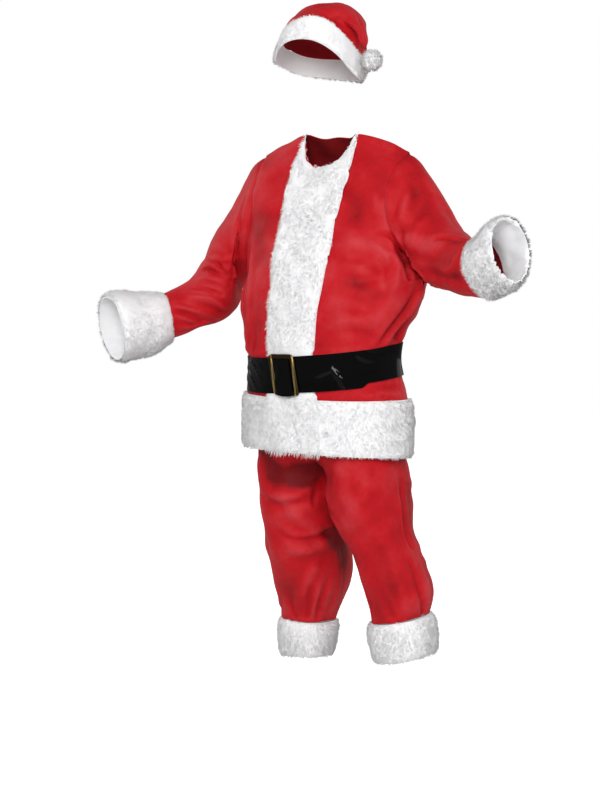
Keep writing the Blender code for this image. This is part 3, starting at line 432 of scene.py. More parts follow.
JACKET_FOLDS = (
    # left armpit: the deep fold, what runs into it, and the pulls that rise from it
    (214, -31, 1289, 240, -20, 1252, 285, -30, 1220, 9, -11, 0.5, 0.3, 0.3, 1.0),
    (178, -66, 1314, 198, -50, 1317, 216, -31, 1290, 6, -4, 0.5, 0.3, 0.2, 0.8),
    (209, -46, 1325, 203, -54, 1384, 185, -38, 1444, 13, 5, 0.3, 0.5, 0.6, 0.0),
    (222, -50, 1330, 240, -42, 1384, 245, -12, 1432, 10, 4, 0.6, 0.3, 0.6, 0.0),
    (238, -47, 1314, 275, -30, 1360, 280, 40, 1410, 12, -4, 0.4, 0.4, 0.8, 0.0),
    (191, -60, 1255, 203, -53, 1228, 199, -64, 1196, 7, -4, 0.5, 0.6, 0.3, 0.0),
    (210, -47, 1256, 213, -48, 1221, 206, -58, 1180, 8, -4.5, 0.5, 0.4, 0.8, 0.0),
    (160, -78, 1300, 184, -58, 1280, 205, -45, 1262, 9, 4, 0.4, 0.4, 0.0, 0.5),
    # left front: soft dents over the chest, and the fold down from the armpit to the belt
    (101, -103, 1252, 147, -87, 1240, 187, -69, 1262, 22, 6, 0.2, 0.5, 0.2, 0.3),
    (118, -104, 1222, 160, -84, 1208, 206, -48, 1230, 16, -5, 0.4, 0.2, 0.0, 0.6),
    (120, -118, 1175, 170, -96, 1150, 205, -60, 1180, 24, -7, 0.3, 0.5, 0.0, 0.4),
    (110, -128, 1112, 160, -104, 1120, 205, -48, 1150, 24, 6, 0.2, 0.3, 0.3, 0.3),
    (248, 15, 1195, 232, -24, 1130, 190, -60, 1055, 11, -9, 0.9, 0.3, 0.4, 0.7),
    (240, 30, 1150, 222, 8, 1090, 196, -10, 1045, 12, -6, 0.4, 0.4, 0.2, 0.6),
    (97, -139, 1080, 145, -118, 1092, 190, -82, 1070, 12, -3.5, 0.3, 0.3, 0.2, 0.5),
    # left sleeve: a long crease under the forearm's top edge, and drag lines to the cuff
    (330, -62, 1292, 368, -64, 1306, 425, -88, 1300, 8, -5, 0.6, 0.2, 0.2, 0.7),
    (235, -40, 1276, 330, -80, 1254, 427, -123, 1236, 13, -4, 0.4, 0.3, 0.5, 0.2),
    (371, -96, 1216, 420, -118, 1246, 435, -107, 1288, 10, 4, 0.3, 0.4, 0.0, 0.4),
    (300, -60, 1228, 372, -94, 1216, 440, -116, 1212, 11, -4, 0.3, 0.3, 0.3, 0.5),
    (237, -12, 1443, 253, -16, 1408, 261, -40, 1360, 12, -3.5, 0.4, 0.4, 0.0, 0.4),
    (300, 40, 1395, 345, 22, 1345, 400, -10, 1305, 16, -4, 0.3, 0.3, 0.0, 0.3),
    (290, 70, 1260, 350, 40, 1240, 420, -30, 1225, 14, -5, 0.4, 0.3, 0.6, 0.2),
    (300, 80, 1330, 340, 50, 1310, 400, 0, 1270, 16, 4, 0.3, 0.3, 0.2, 0.2),
    # right sleeve: squeezed folds inside the elbow, and slanted drags along the forearm
    (-353, -54, 1232, -314, -68, 1235, -262, -26, 1210, 6, -6, 0.7, 0.4, 0.2, 0.6),
    (-292, -64, 1257, -281, -62, 1235, -258, -39, 1222, 6, -6, 0.5, 0.5, 0.2, 0.7),
    (-339, -52, 1272, -300, -68, 1262, -262, -55, 1262, 8, 4, 0.5, 0.4, 0.0, 0.8),
    (-356, -70, 1214, -312, -71, 1214, -278, -50, 1200, 7, 5, 0.5, 0.5, 0.1, 0.4),
    (-352, -92, 1192, -328, -83, 1190, -285, -57, 1174, 6, -6, 0.5, 0.4, 0.0, 0.5),
    (-346, -111, 1170, -306, -78, 1164, -282, -37, 1138, 6, 5.5, 0.5, 0.4, 0.2, 0.4),
    (-336, -109, 1157, -307, -78, 1143, -290, -35, 1125, 6, -5, 0.5, 0.4, 0.2, 0.5),
    (-362, -135, 1146, -325, -100, 1132, -306, -30, 1108, 6, 5.5, 0.3, 0.3, 0.4, 0.2),
    (-362, -138, 1133, -345, -112, 1124, -330, -73, 1108, 6, -5, 0.5, 0.4, 0.2, 0.5),
    (-362, -140, 1121, -345, -114, 1111, -335, -73, 1096, 6, 5, 0.3, 0.3, 0.4, 0.2),
    (-363, -134, 1091, -345, -89, 1091, -322, -58, 1103, 6, 5, 0.4, 0.4, 0.2, 0.3),
    (-300, 60, 1270, -330, 20, 1262, -352, -20, 1262, 10, -4, 0.4, 0.4, 0.2, 0.5),
    (-280, 70, 1180, -330, 50, 1196, -372, -10, 1204, 12, -5, 0.4, 0.3, 0.6, 0.2),
    (-300, 45, 1130, -360, 0, 1150, -400, -60, 1160, 13, 4, 0.3, 0.3, 0.3, 0.2),
    (-262, 90, 1400, -290, 60, 1330, -300, 40, 1270, 15, -4, 0.3, 0.3, 0.2, 0.4),
    # where the right sleeve's armhole meets the front, and the gathers below it
    (-222, -40, 1440, -228, -58, 1350, -238, -46, 1250, 8, -4, 0.4, 0.5, 0.2, 0.9),
    (-236, -50, 1262, -246, -20, 1232, -262, 10, 1214, 9, -4, 0.4, 0.4, 0.6, 0.4),
    (-200, -70, 1290, -206, -74, 1190, -190, -86, 1100, 15, -4.5, 0.3, 0.4, 0.4, 0.3),
    (-178, -84, 1280, -166, -100, 1180, -160, -108, 1090, 13, 3.5, 0.3, 0.3, 0.0, 0.4),
    (-186, -84, 1096, -178, -84, 1068, -186, -70, 1042, 6, -5, 0.5, 0.5, 0.0, 1.0),
    (-166, -104, 1104, -156, -106, 1070, -164, -96, 1040, 6, -4.5, 0.5, 0.5, 0.0, 1.0),
    (-136, -118, 1098, -128, -122, 1066, -134, -116, 1040, 6, -4, 0.5, 0.5, 0.0, 1.0),
    # the cloth between belt and hem band, drawn in by the belt
    (168, -94, 950, 188, -62, 956, 206, 0, 958, 8, -5, 0.5, 0.5, 0.4, 0.3),
    (178, -81, 962, 198, -44, 944, 208, 13, 934, 8, 4, 0.3, 0.3, 0.2, 0.4),
    (-190, -60, 930, -160, -96, 938, -110, -130, 942, 9, -3, 0.3, 0.3, 0.2, 0.2),
    # back: slack over the belt, a pull between the shoulders and both armholes
    (-150, 120, 1100, -60, 138, 1088, 40, 136, 1104, 16, -6, 0.4, 0.4, 0.2, 0.2),
    (30, 136, 1078, 110, 132, 1086, 190, 80, 1112, 15, -6, 0.3, 0.4, 0.2, 0.3),
    (-200, 60, 1240, -190, 110, 1170, -120, 138, 1090, 15, -7, 0.4, 0.4, 0.7, 0.3),
    (210, 80, 1240, 190, 118, 1165, 130, 138, 1080, 15, -7, 0.4, 0.4, 0.7, 0.3),
    (-196, 112, 1330, -120, 140, 1300, -40, 152, 1290, 18, -4, 0.3, 0.3, 0.6, 0.0),
    (200, 112, 1345, 130, 140, 1310, 60, 152, 1296, 18, -4, 0.3, 0.3, 0.6, 0.0),
    (-90, 130, 1470, -20, 128, 1450, 70, 132, 1465, 20, 4, 0.3, 0.3, 0.1, 0.1),
    (-160, 118, 1058, -150, 116, 1080, -140, 132, 1120, 8, -4.5, 0.5, 0.5, 1.0, 0.0),
    (-80, 122, 1058, -78, 124, 1084, -70, 140, 1122, 8, -4.5, 0.5, 0.5, 1.0, 0.0),
    (0, 124, 1058, 6, 126, 1082, 2, 144, 1118, 8, -4, 0.5, 0.5, 1.0, 0.0),
    (84, 120, 1062, 80, 124, 1088, 90, 142, 1126, 8, -4.5, 0.5, 0.5, 1.0, 0.0),
    (150, 110, 1066, 152, 116, 1090, 146, 132, 1124, 8, -4.5, 0.5, 0.5, 1.0, 0.0),
)

# Painted highlights and painted shade in streaks on the plush. Each has three points, its half
# width in millimetres and its strength, below zero where it is painted darker.
JACKET_PAINTED_STREAKS = (
    (126, -90, 1296, 155, -78, 1291, 185, -68, 1279, 13, 0.7),
    (157, -90, 1228, 176, -71, 1216, 198, -63, 1198, 12, 0.7),
    (102, -126, 1162, 135, -112, 1156, 162, -101, 1144, 14, 0.8),
    (169, -53, 1402, 185, -57, 1368, 194, -53, 1336, 15, 0.8),
    (227, -39, 1314, 295, -61, 1302, 361, -81, 1287, 13, 0.7),
    (256, 25, 1444, 279, 32, 1409, 308, 22, 1368, 13, 0.5),
    (-305, -56, 1292, -268, -59, 1279, -253, -38, 1264, 12, 0.5),
    (114, -102, 1256, 145, -94, 1249, 175, -79, 1240, 12, -0.6),
    (141, -99, 1198, 173, -92, 1184, 203, -66, 1170, 12, -0.6),
    (98, -56, 1410, 117, -64, 1374, 133, -75, 1338, 18, -0.5),
    (-150, -90, 1380, -160, -106, 1210, -150, -118, 1070, 34, -0.4),
    (191, 18, 1517, 226, 15, 1492, 247, 18, 1456, 18, -0.4),
    (330, -90, 1240, 380, -100, 1225, 430, -118, 1216, 14, -0.7),
    (-120, 140, 1300, 0, 150, 1290, 120, 140, 1305, 26, -0.3),
    (-110, 138, 1180, 10, 145, 1165, 130, 132, 1180, 20, 0.6),
)
SOLID_WALL = 0.002                       # the cloth's thickness in the solids, by their rims
PLUSH_WALL = 0.0018                      # and as it is worn, drawn a little thin
SHOULDER_DROPS = (0.009, 0.004)          # how much lower the left and the right shoulder sit
SHOULDER_REACH = 0.035                   # and how far round the crest that fades out
SHADED_FOLD_DEPTH = 0.012                        # troughs this deep get the full painted shade, ridges this high the full painted highlight


def jacket_swell(points):
    """The jacket's slack between its folds, which the belt takes out."""
    swell = ripples(points, 11, 0.11, 0.0020) + ripples(points, 12, 0.045, 0.0005)
    return swell * free_of_belt(points)


def creased(pieces, folds, swell_of, painted_streaks=(), held=lambda points: 1.0):
    """Folds, slackens and seams pieces that are sewn together, and gives them their wall."""
    for piece, out, groove in zip(pieces, shared_normals(pieces), seam_groove(pieces)):
        at = points_of(piece)
        depth, swell = fold_depth(at, out, folds) * held(at), swell_of(at)
        put(piece, at + out * (depth + swell + groove)[:, None])
        # The folds' depth and the slack become painted shade in troughs and painted highlight on
        # ridges, with the painted streaks added.
        record(piece, "painted_shading", (depth + swell) / SHADED_FOLD_DEPTH + painted_streak_light(at, painted_streaks))
        cloth_from(piece)


def fitted(piece, node, name):
    """Names the finished piece, and puts it in the node's place on the one body."""
    piece.name = name
    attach(piece, "root")
    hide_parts(node)


jacket = {"jacket_back": 2, "jacket_front_left": 3, "jacket_front_right": 3,
          "sleeve_left": 3, "sleeve_right": 3}
pieces = [smoothed(outer_face(node, SOLID_WALL), levels) for node, levels in jacket.items()]
for sleeve, drop in zip(pieces[3:], SHOULDER_DROPS):
    at = points_of(sleeve)
    crest = at[at[:, 2].argmax()]
    for piece in pieces:
        at = points_of(piece)
        gap = np.linalg.norm(at - crest, axis=1)
        put(piece, at - np.outer(drop * np.exp(-(gap / SHOULDER_REACH) ** 2), (0, 0, 1)))
for piece in pieces:
    put(piece, swayed(points_of(piece)))
creased(pieces, JACKET_FOLDS, jacket_swell, JACKET_PAINTED_STREAKS, held=free_of_belt)
for piece, node, flat, area, rests in zip(
        pieces, jacket,
        ((0.60, 0.80), (0.31, 0.80), (0.31, 0.80), (0.62, 0.34), (0.62, 0.42)),
        (0.405, 0.205, 0.203, 0.157, 0.169),
        (["plush_sleeve_left", "plush_sleeve_right"], ["plush_jacket_back"],
         ["plush_jacket_back"], ["plush_jacket_back"], ["plush_jacket_back"])):
    fitted(piece, node, "plush_" + node)
    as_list(rests)

# ---------------------------------------------------------------- trousers
# Two fronts and two backs of the same plush, seamed down the middle, outside and inside of the
# legs. The loose right leg sags into slack curves over the thigh, the left one hangs in long
# folds behind the knee, and both draw into the fur cuffs.
TROUSER_FOLDS = (
    # right thigh: slack curves from the hip to the crotch
    (-116, -102, 752, -57, -100, 746, 0, -55, 752, 32, -13, 0.3, 0.3, 0.3, 0.3),
    (-120, -101, 697, -64, -94, 688, -8, -52, 716, 13, 6, 0.4, 0.3, 0.2, 0.5),
    (-122, -100, 668, -64, -90, 660, -16, -60, 676, 14, -5, 0.4, 0.3, 0.3, 0.4),
    (-150, -88, 785, -140, -96, 755, -130, -104, 720, 26, 9, 0.5, 0.3, 0.1, 0.6),
    (-70, -102, 690, -46, -84, 640, -14, -34, 610, 15, 5, 0.3, 0.4, 0.2, 0.3),
    (-97, -77, 600, -45, -62, 574, -4, 6, 596, 9, -6, 0.5, 0.4, 0.2, 0.6),
    (-92, -67, 570, -50, -50, 548, -6, 20, 572, 11, 4, 0.3, 0.3, 0.1, 0.4),
    (-84, -58, 530, -50, -40, 520, -10, 20, 540, 16, -4, 0.3, 0.3, 0.1, 0.2),
    # crotch: folds that run down and across from the seam
    (10, -60, 700, 40, -76, 662, 92, -92, 622, 10, -4, 0.3, 0.5, 0.6, 0.1),
    (-6, -10, 600, -10, 30, 572, -20, 80, 540, 14, -6, 0.4, 0.3, 0.5, 0.2),
    (60, -98, 690, 64, -102, 724, 72, -106, 756, 9, -2.5, 0.4, 0.4, 0.3, 0.1),
    # right leg: gathers rising from the cuff
    (-104, 8, 408, -60, -2, 478, -26, -4, 530, 12, 5, 0.4, 0.4, 0.3, 0.0),
    (-64, 50, 372, -40, 36, 440, -18, 34, 500, 9, -5, 0.5, 0.5, 0.9, 0.0),
    (-84, 30, 372, -66, 16, 430, -50, 2, 480, 8, -4.5, 0.4, 0.4, 1.0, 0.0),
    (-59, 92, 374, -42, 88, 414, -22, 68, 465, 10, 4, 0.4, 0.4, 0.4, 0.0),
    (-155, 12, 420, -160, 40, 396, -150, 80, 384, 9, -4, 0.4, 0.4, 0.2, 0.4),
    (-122, 20, 372, -124, 10, 400, -112, 0, 440, 8, -4, 0.4, 0.4, 1.0, 0.0),
    # left leg: long folds down its outer side, the bag behind the knee, gathers at the cuff
    (160, -86, 768, 164, -94, 716, 152, -96, 660, 20, 4, 0.3, 0.3, 0.2, 0.0),
    (192, 0, 760, 198, 22, 660, 212, 34, 572, 8, -5, 0.4, 0.5, 0.2, 0.7),
    (176, 104, 770, 180, 104, 716, 186, 90, 680, 34, -11, 0.2, 0.2, 0.5, 0.1),
    (225, 4, 548, 246, 22, 476, 240, 53, 412, 9, -6, 0.5, 0.3, 0.3, 1.0),
    (231, 44, 545, 247, 52, 482, 243, 70, 425, 10, 5, 0.4, 0.4, 0.3, 0.6),
    (176, -43, 560, 203, -32, 475, 204, -14, 415, 14, -4, 0.3, 0.4, 0.0, 0.9),
    (120, -30, 410, 124, -34, 450, 116, -40, 500, 10, -3.5, 0.4, 0.4, 1.0, 0.0),
    (190, -16, 412, 186, -26, 440, 170, -38, 480, 9, -4, 0.4, 0.4, 1.0, 0.0),
    (150, -30, 690, 130, -60, 650, 100, -74, 622, 16, 4, 0.3, 0.3, 0.1, 0.3),
    # backs: hollows under the seat, folds behind the knees and gathers at both cuffs
    (20, 150, 690, 90, 152, 672, 180, 110, 690, 15, -7, 0.4, 0.4, 0.6, 0.2),
    (-10, 150, 690, -90, 156, 670, -170, 100, 690, 15, -7, 0.4, 0.4, 0.6, 0.2),
    (70, 128, 600, 130, 136, 586, 200, 100, 606, 13, -5, 0.4, 0.4, 0.2, 0.3),
    (80, 130, 548, 150, 136, 536, 220, 96, 556, 12, -6, 0.5, 0.4, 0.3, 0.4),
    (-180, 150, 560, -110, 182, 548, -40, 160, 566, 13, -6, 0.4, 0.4, 0.3, 0.3),
    (-170, 160, 512, -110, 184, 500, -50, 160, 520, 12, 5, 0.4, 0.4, 0.2, 0.2),
    (150, 130, 404, 154, 138, 440, 146, 144, 490, 10, -5, 0.4, 0.4, 1.0, 0.0),
    (196, 118, 408, 204, 124, 440, 200, 132, 480, 10, -5, 0.4, 0.4, 1.0, 0.0),
    (-150, 160, 370, -146, 172, 404, -140, 186, 450, 10, -5, 0.4, 0.4, 1.0, 0.0),
    (-104, 166, 370, -100, 178, 404, -96, 186, 440, 9, -4.5, 0.4, 0.4, 1.0, 0.0),
    (-156, -40, 600, -152, -46, 552, -150, -30, 515, 22, -6, 0.3, 0.3, 0.2, 0.2),
    (-190, 30, 700, -186, 10, 620, -176, 30, 540, 16, -5, 0.4, 0.3, 0.2, 0.4),
)

# Painted shade and painted highlight on the trousers, in streaks as on the jacket.
TROUSER_PAINTED_STREAKS = (
    (-118, -103, 770, -63, -100, 734, 4, -50, 748, 40, -1.1),
    (-21, -70, 735, 0, -30, 650, -7, 73, 540, 30, -0.9),
    (-10, 20, 600, -12, 70, 540, -15, 94, 470, 32, -0.9),
    (-125, -89, 675, -70, -86, 661, -25, -66, 666, 12, 0.5),
    (105, -109, 761, 120, -109, 715, 134, -101, 668, 18, 0.5),
    (-129, -66, 574, -93, -54, 526, -91, 8, 420, 44, -0.45),
    (130, -60, 560, 170, -45, 500, 176, -20, 420, 60, -0.35),
    (196, 30, 780, 200, 50, 700, 204, 60, 600, 14, -0.7),
    (-100, 140, 700, -20, 150, 680, 100, 140, 700, 30, -0.4),
)


def trouser_swell(points):
    """The trousers' slack between their folds."""
    return ripples(points, 21, 0.12, 0.0017) + ripples(points, 22, 0.05, 0.0005)


trousers = {"trouser_front_left": 3, "trouser_front_right": 3,
            "trouser_back_left": 2, "trouser_back_right": 2}
pieces = [smoothed(outer_face(node, SOLID_WALL), levels) for node, levels in trousers.items()]
creased(pieces, TROUSER_FOLDS, trouser_swell, TROUSER_PAINTED_STREAKS)
for piece, node, area in zip(pieces, trousers, (0.184, 0.204, 0.176, 0.196)):
    fitted(piece, node, "plush_" + node)
    faced = "plush_trouser_back_left" if "front" in node else "plush_trouser_front_left"

# ---------------------------------------------------------------- fur of the jacket's edges
# Long-pile white acrylic fur on a knitted backing, sewn over the front opening and the hem.
# Its base is the dense underfur, rounded off along the edges, and over it stand fine locks of
# hair that lean with the lie of the fur and draw together in tufts. The belt presses it flat.
FUR_CLUMP = 1 / 52                       # 19 mm: brighter and duller patches of the hair

# Its soft white hair scatters the light and has hardly any gloss. The underfur between the locks
# and the roots of the locks are painted greyer than their tips, as painted shade.
fur, shader = finish_named("white_acrylic_fur", "#F8F7F6", 0.88, Sheen_Weight=0.2,
                           Sheen_Roughness=0.5, Specular_IOR_Level=0.1)
place = add(fur, "ShaderNodeTexCoord").outputs["Object"]
mottle = add(fur, "ShaderNodeTexNoise", {"Vector": place, "Scale": 0.5 / FUR_CLUMP, "Detail": 2.0})
mottles = add(fur, "ShaderNodeMapRange", {"Value": mottle.outputs["Fac"], "From Min": 0.35,
                                          "From Max": 0.68})
whites = add(fur, "ShaderNodeMix", {0: mottles.outputs[0], 6: linear("#EDEDEE"),
                                    7: linear("#F8F7F6")}, data_type="RGBA")
painted_root_shade_and_tone = add(fur, "ShaderNodeAttribute", attribute_name="painted_root_shade_and_tone")
furs = add(fur, "ShaderNodeMix", {0: painted_root_shade_and_tone.outputs["Fac"], 6: linear("#ECECEE"),
                                  7: whites.outputs[2]}, data_type="RGBA")
fur.node_tree.links.new(furs.outputs[2], shader.inputs["Base Color"])

LOCKS_PER_AREA = 175000.0                # locks of hair on a square metre of fur
LOCK_WIDTH = 0.0013                      # a lock stands for hairs too fine to show one by one
TUFTS_PER_LOCK = 0.07                    # how many of the locks lead a tuft of their own
ROOT_SHARE = 0.82                        # where in the underfur the locks are rooted
EDGE_ROUND = 0.014                       # how far from its edge the fur is rounded off


def closed_shell(piece, outside, inside):
    """Makes the piece a closed wall between two positions of each of its points."""
    shape = bmesh.new()
    shape.from_mesh(piece.data)
    count = len(shape.verts)
    faces = [[vertex.index for vertex in face.verts] for face in shape.faces]
    rims = []
    for edge in shape.edges:
        if edge.is_boundary:
            loop = edge.link_loops[0]
            start, end = loop.vert.index, loop.link_loop_next.vert.index
            rims.append([end, start, start + count, end + count])
    shape.free()
    backs = [[k + count for k in reversed(face)] for face in faces]
    mesh = bpy.data.meshes.new(piece.name)
    mesh.from_pydata(np.concatenate([outside, inside]).tolist(), [], faces + backs + rims)
    mesh.shade_smooth()
    mesh.set_sharp_from_angle(angle=math.radians(60))
    old, piece.data = piece.data, mesh
    bpy.data.meshes.remove(old)


def border_of(piece, joined_below=None):
    """Points along the sheet's open edges, and the way out over the edge at each.

    Upright edges below joined_below butt against the next piece and don't count.
    """
    shape = bmesh.new()
    shape.from_mesh(piece.data)
    found = []
    for edge in shape.edges:
        if edge.is_boundary:
            middle = edge.link_faces[0].calc_center_median()
            one, two = (vertex.co for vertex in edge.verts)
            run = (two - one).normalized()
            out = (one + two) / 2 - middle
            out = (out - run * out.dot(run)).normalized()
            if joined_below is not None and abs(run.z) > 0.7 and one.z < joined_below:
                continue
            found += [(one.lerp(two, share), out) for share in (0.0, 0.33, 0.67)]
    shape.free()
    return tree_of([point for point, _ in found]), np.array([out for _, out in found])


def spikes(name, roots, ways, lengths, widths, faced, tones):
    """Closed three-sided locks of hair from the roots, each lit as the fur it stands on."""
    count = len(roots)
    across = np.cross(ways, (0.31, 0.52, 0.79))
    across /= np.linalg.norm(across, axis=1, keepdims=True)
    beside = np.cross(ways, across)
    corners = [roots + widths[:, None] / math.sqrt(3) * (across * math.cos(turn)
                                                         + beside * math.sin(turn))
               for turn in (0.0, 2 * math.pi / 3, 4 * math.pi / 3)]
    tips = roots + ways * lengths[:, None]
    points = np.stack([*corners, tips], axis=1).reshape(-1, 3)
    first = (np.arange(count) * 4)[:, None, None]
    sides = np.array([(0, 1, 3), (1, 2, 3), (2, 0, 3), (2, 1, 0)])
    loops = (first + sides[None]).reshape(-1)
    mesh = bpy.data.meshes.new(name)
    mesh.vertices.add(len(points))
    mesh.vertices.foreach_set("co", points.astype(np.float32).ravel())
    mesh.loops.add(len(loops))
    mesh.loops.foreach_set("vertex_index", loops.astype(np.int32))
    mesh.polygons.add(len(loops) // 3)
    mesh.polygons.foreach_set("loop_start", np.arange(0, len(loops), 3, dtype=np.int32))
    mesh.update(calc_edges=True)
    mesh.shade_smooth()
    outward = np.stack([corner - roots for corner in corners] + [ways * 0], axis=1)
    outward /= np.maximum(np.linalg.norm(outward, axis=2, keepdims=True), 1e-9)
    lit = faced[:, None] + 0.1 * outward
    lit /= np.linalg.norm(lit, axis=2, keepdims=True)
    mesh.normals_split_custom_set_from_vertices(lit.reshape(-1, 3))
    piece = placed(name, mesh)
    # The locks' roots are painted greyer than their tips, as painted shade between them; each
    # tuft's tone varies by chance.
    record(piece, "painted_root_shade_and_tone", np.array([0.3, 0.3, 0.3, 1.0])[None] * tones[:, None])
    mesh.materials.append(fur)
    return piece


def pile_of(node, base):
    """How deep the node's fur is under each point of its outside.

    It is the usual depth where nothing is found at 3 to 20 mm, as along the rims.
    """
    shape = bmesh.new()
    shape.from_mesh(frame["nodes"][node].data)
    solid_tree = BVHTree.FromBMesh(shape)
    shape.free()
    pile = np.array([solid_tree.ray_cast(Vector(p - n * 0.001), Vector(-n), 0.02)[3] or 0
                     for p, n in zip(points_of(base), normals_of(base))]) + 0.001
    usual = np.median(pile[pile > 0.003])
    return np.where(pile > 0.003, np.minimum(pile, usual * 1.15), usual)


def fur_trim(node, flat, area, folds, swells, lie, seed, painted_shade_tone=1.0, laid=None,
             joined_below=None, fringe=0.25):
    """A node's fur: its rounded base, and the locks that lie along the way given.

    flat and area are the size of the strip that it is cut from; they are not used. lie is the
    direction that the hair leans, as (x, y, z). laid is the fur's outside and its pile, where they
    aren't read off the node as it is, and fringe how much longer the hair is that hangs over the
    lower edge.
    """
    chance = np.random.default_rng(seed)
    if laid:
        base, pile = laid
    else:
        base = smoothed(outer_face(node), 2)
        pile = pile_of(node, base)
    at, out = points_of(base), normals_of(base)
    backing = at - out * pile[:, None]
    borders, over_edge = border_of(base, joined_below)
    nearest = [borders.find(point) for point in at]
    from_edge = np.array([hit[2] for hit in nearest])
    moved = fold_depth(at, out, folds) * free_of_belt(at) + swells(at)
    backing = backing + out * moved[:, None]

    # The underfur is low along the edges and full inside, and its surface is uneven.
    crown = 1 - (1 - np.minimum(from_edge / EDGE_ROUND, 1)) ** 2
    height = pile * (0.25 + 0.55 * np.sqrt(crown))
    height += (ripples(at, seed, 0.032, 0.0006) * crown
               + ripples(at, seed + 1, 0.09, 0.0006) * crown)
    triangles = []
    for face in base.data.polygons:
        corner = list(face.vertices)
        triangles += [corner[:3], [corner[0], corner[2], corner[3]]]
    triangles = np.array(triangles)
    closed_shell(base, backing + out * height[:, None], backing + out * 0.0003)

    # The locks are rooted evenly over it, by chance.
    one, two, three = (at[triangles[:, k]] for k in range(3))
    areas = np.linalg.norm(np.cross(two - one, three - one), axis=1) / 2
    count = int(areas.sum() * LOCKS_PER_AREA)
    chosen = triangles[np.searchsorted(np.cumsum(areas) / areas.sum(), chance.random(count))]
    shares = chance.dirichlet((1, 1, 1), count)

    def spread(values):
        shape = shares[..., None] if values.ndim > 1 else shares
        return (values[chosen] * shape).sum(axis=1)

    normal = spread(out)
    normal /= np.linalg.norm(normal, axis=1, keepdims=True)
    deep, tall, edge = spread(pile), spread(height), spread(from_edge)
    roots = spread(backing) + normal * (tall * ROOT_SHARE)[:, None]

    # They lean with the lie of the fur and out over its edges, and each follows the leader of
    # its tuft. Where they hang over the lower edge they are longer.
    hits = [borders.find(root)[1] for root in roots]
    beyond = over_edge[hits] * np.exp(-(edge / 0.009) ** 2)[:, None]
    lean = np.array(lie) * 0.8 + beyond * 0.6
    leaders = np.nonzero(chance.random(count) < TUFTS_PER_LOCK)[0]
    tufts = tree_of(roots[leaders])
    owner = leaders[[tufts.find(root)[1] for root in roots]]
    stray = chance.normal(size=(count, 3))
    swirl = np.stack([ripples(roots, seed + 2 + k, 0.07, 0.09) for k in range(3)], axis=1)
    ways = normal * 0.8 + lean + 0.12 * stray[owner] + 0.1 * stray + swirl
    ways /= np.linalg.norm(ways, axis=1, keepdims=True)
    size = (deep * (0.55 + 0.3 * chance.random(count))
            * (0.85 + 0.3 * chance.random(count))[owner])
    hanging = np.clip(-over_edge[hits][:, 2], 0.2, 1) * np.exp(-(edge / 0.008) ** 2)
    size = np.where(deep < 0.006, size * 0.8, size) * (1 + fringe * hanging)
    tips = roots + ways * size[:, None]
    tips += (tips[owner] - tips) * (0.08 + 0.12 * chance.random(count))[:, None]
    ways = tips - roots
    size = np.linalg.norm(ways, axis=1)
    # A tone below 1 greys all of the piece's hair: painted shade on a piece that lies in shade.
    hair = spikes("hair_" + node, roots, ways / size[:, None], size,
                  LOCK_WIDTH * (0.7 + 0.6 * chance.random(count)), normal,
                  painted_shade_tone * (0.92 + 0.08 * chance.random(count))[owner])
    base.data.materials.append(fur)
    # The underfur is painted as grey as the locks' lower parts, as painted shade between the
    # locks.
    record(base, "painted_root_shade_and_tone", np.full(len(base.data.vertices), 0.45))
    fitted(base, node, "fur_" + node)
    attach(hair, "root")


def swayed_fur(node, drawn_in=0.0):
    """The node's fur moved with the jacket's waist and hem, and its pile.

    drawn_in is how far its edge on the wearer's left is drawn in above the belt.
    """
    outside = smoothed(outer_face(node), 2)
    pile = pile_of(node, outside)
    at = swayed(points_of(outside))
    share = drawn_in * ease((at[:, 0] + 0.01) / 0.07) * np.interp(
        at[:, 2], (-0.64, -0.59, -0.2, -0.1), (0, 1, 1, 0))
    put(outside, at - share[:, None] * (1, 0.2, 0))
    return outside, pile


HEM_JOIN = -0.635                        # below it the hem's fur butts against the front's
fur_trim("front_band", (0.165, 0.80), 0.118,
         JACKET_FOLDS, jacket_swell,
         (0, -0.1, -1), 31, laid=swayed_fur("front_band", 0.010), joined_below=HEM_JOIN,
         fringe=1.3)
fur_trim("hem_band", (1.10, 0.135), 0.1416,
         JACKET_FOLDS, jacket_swell, (0, 0, -0.8), 41, painted_shade_tone=0.96, laid=swayed_fur("hem_band"),
         joined_below=0.0, fringe=0.0)

# ---------------------------------------------------------------- fur cuffs of the sleeves
# Wide tubes of the same fur at both wrists, sewn over the ends of the sleeves and open at the
# hand. Their hair leans towards the hands.
fur_trim("cuff_left", (0.40, 0.135), 0.0514, (), jacket_swell,
         (0.5, -0.2, 0.1), 51, painted_shade_tone=0.98)
fur_trim("cuff_right", (0.44, 0.175), 0.0751, (), jacket_swell,
         (-0.3, -0.5, -0.2), 61)

# ---------------------------------------------------------------- fur cuffs of the trousers
# A tube of the same fur round the end of each leg, sewn on at its top edge and open at its
# foot. Its hair stands out all round and leans down a little.
for side, flat, area, seed, painted_shade_tone in (("left", (0.475, 0.11), 0.0506, 71, 0.97),
                                     ("right", (0.455, 0.104), 0.0459, 81, 0.95)):
    fur_trim("leg_cuff_" + side, flat, area,
             (), trouser_swell,
             (0, 0, -0.3), seed, painted_shade_tone)

# ---------------------------------------------------------------- cap
# A front and a back of plush sewn up the sides to a point, which flops down to the wearer's
# left, over a band of the fur. The point carries the pompom.
CAP_FOLDS = (
    (-95, -60, 1836, -60, -66, 1852, -20, -70, 1858, 12, -4, 0.4, 0.3, 0.3, 0.3),
    (-10, -70, 1862, 20, -60, 1868, 40, -20, 1876, 14, -4, 0.3, 0.3, 0.2, 0.0),
    (40, -80, 1806, 70, -62, 1822, 96, -34, 1826, 12, -4, 0.4, 0.4, 0.2, 0.4),
    (58, -70, 1796, 84, -52, 1800, 104, -24, 1796, 10, -3.5, 0.4, 0.4, 0.0, 0.6),
    (60, 70, 1800, 84, 52, 1806, 104, 20, 1796, 12, -4, 0.4, 0.4, 0.0, 0.5),
    (-90, 70, 1820, -40, 84, 1838, 20, 80, 1846, 16, -4, 0.3, 0.3, 0.2, 0.2),
)
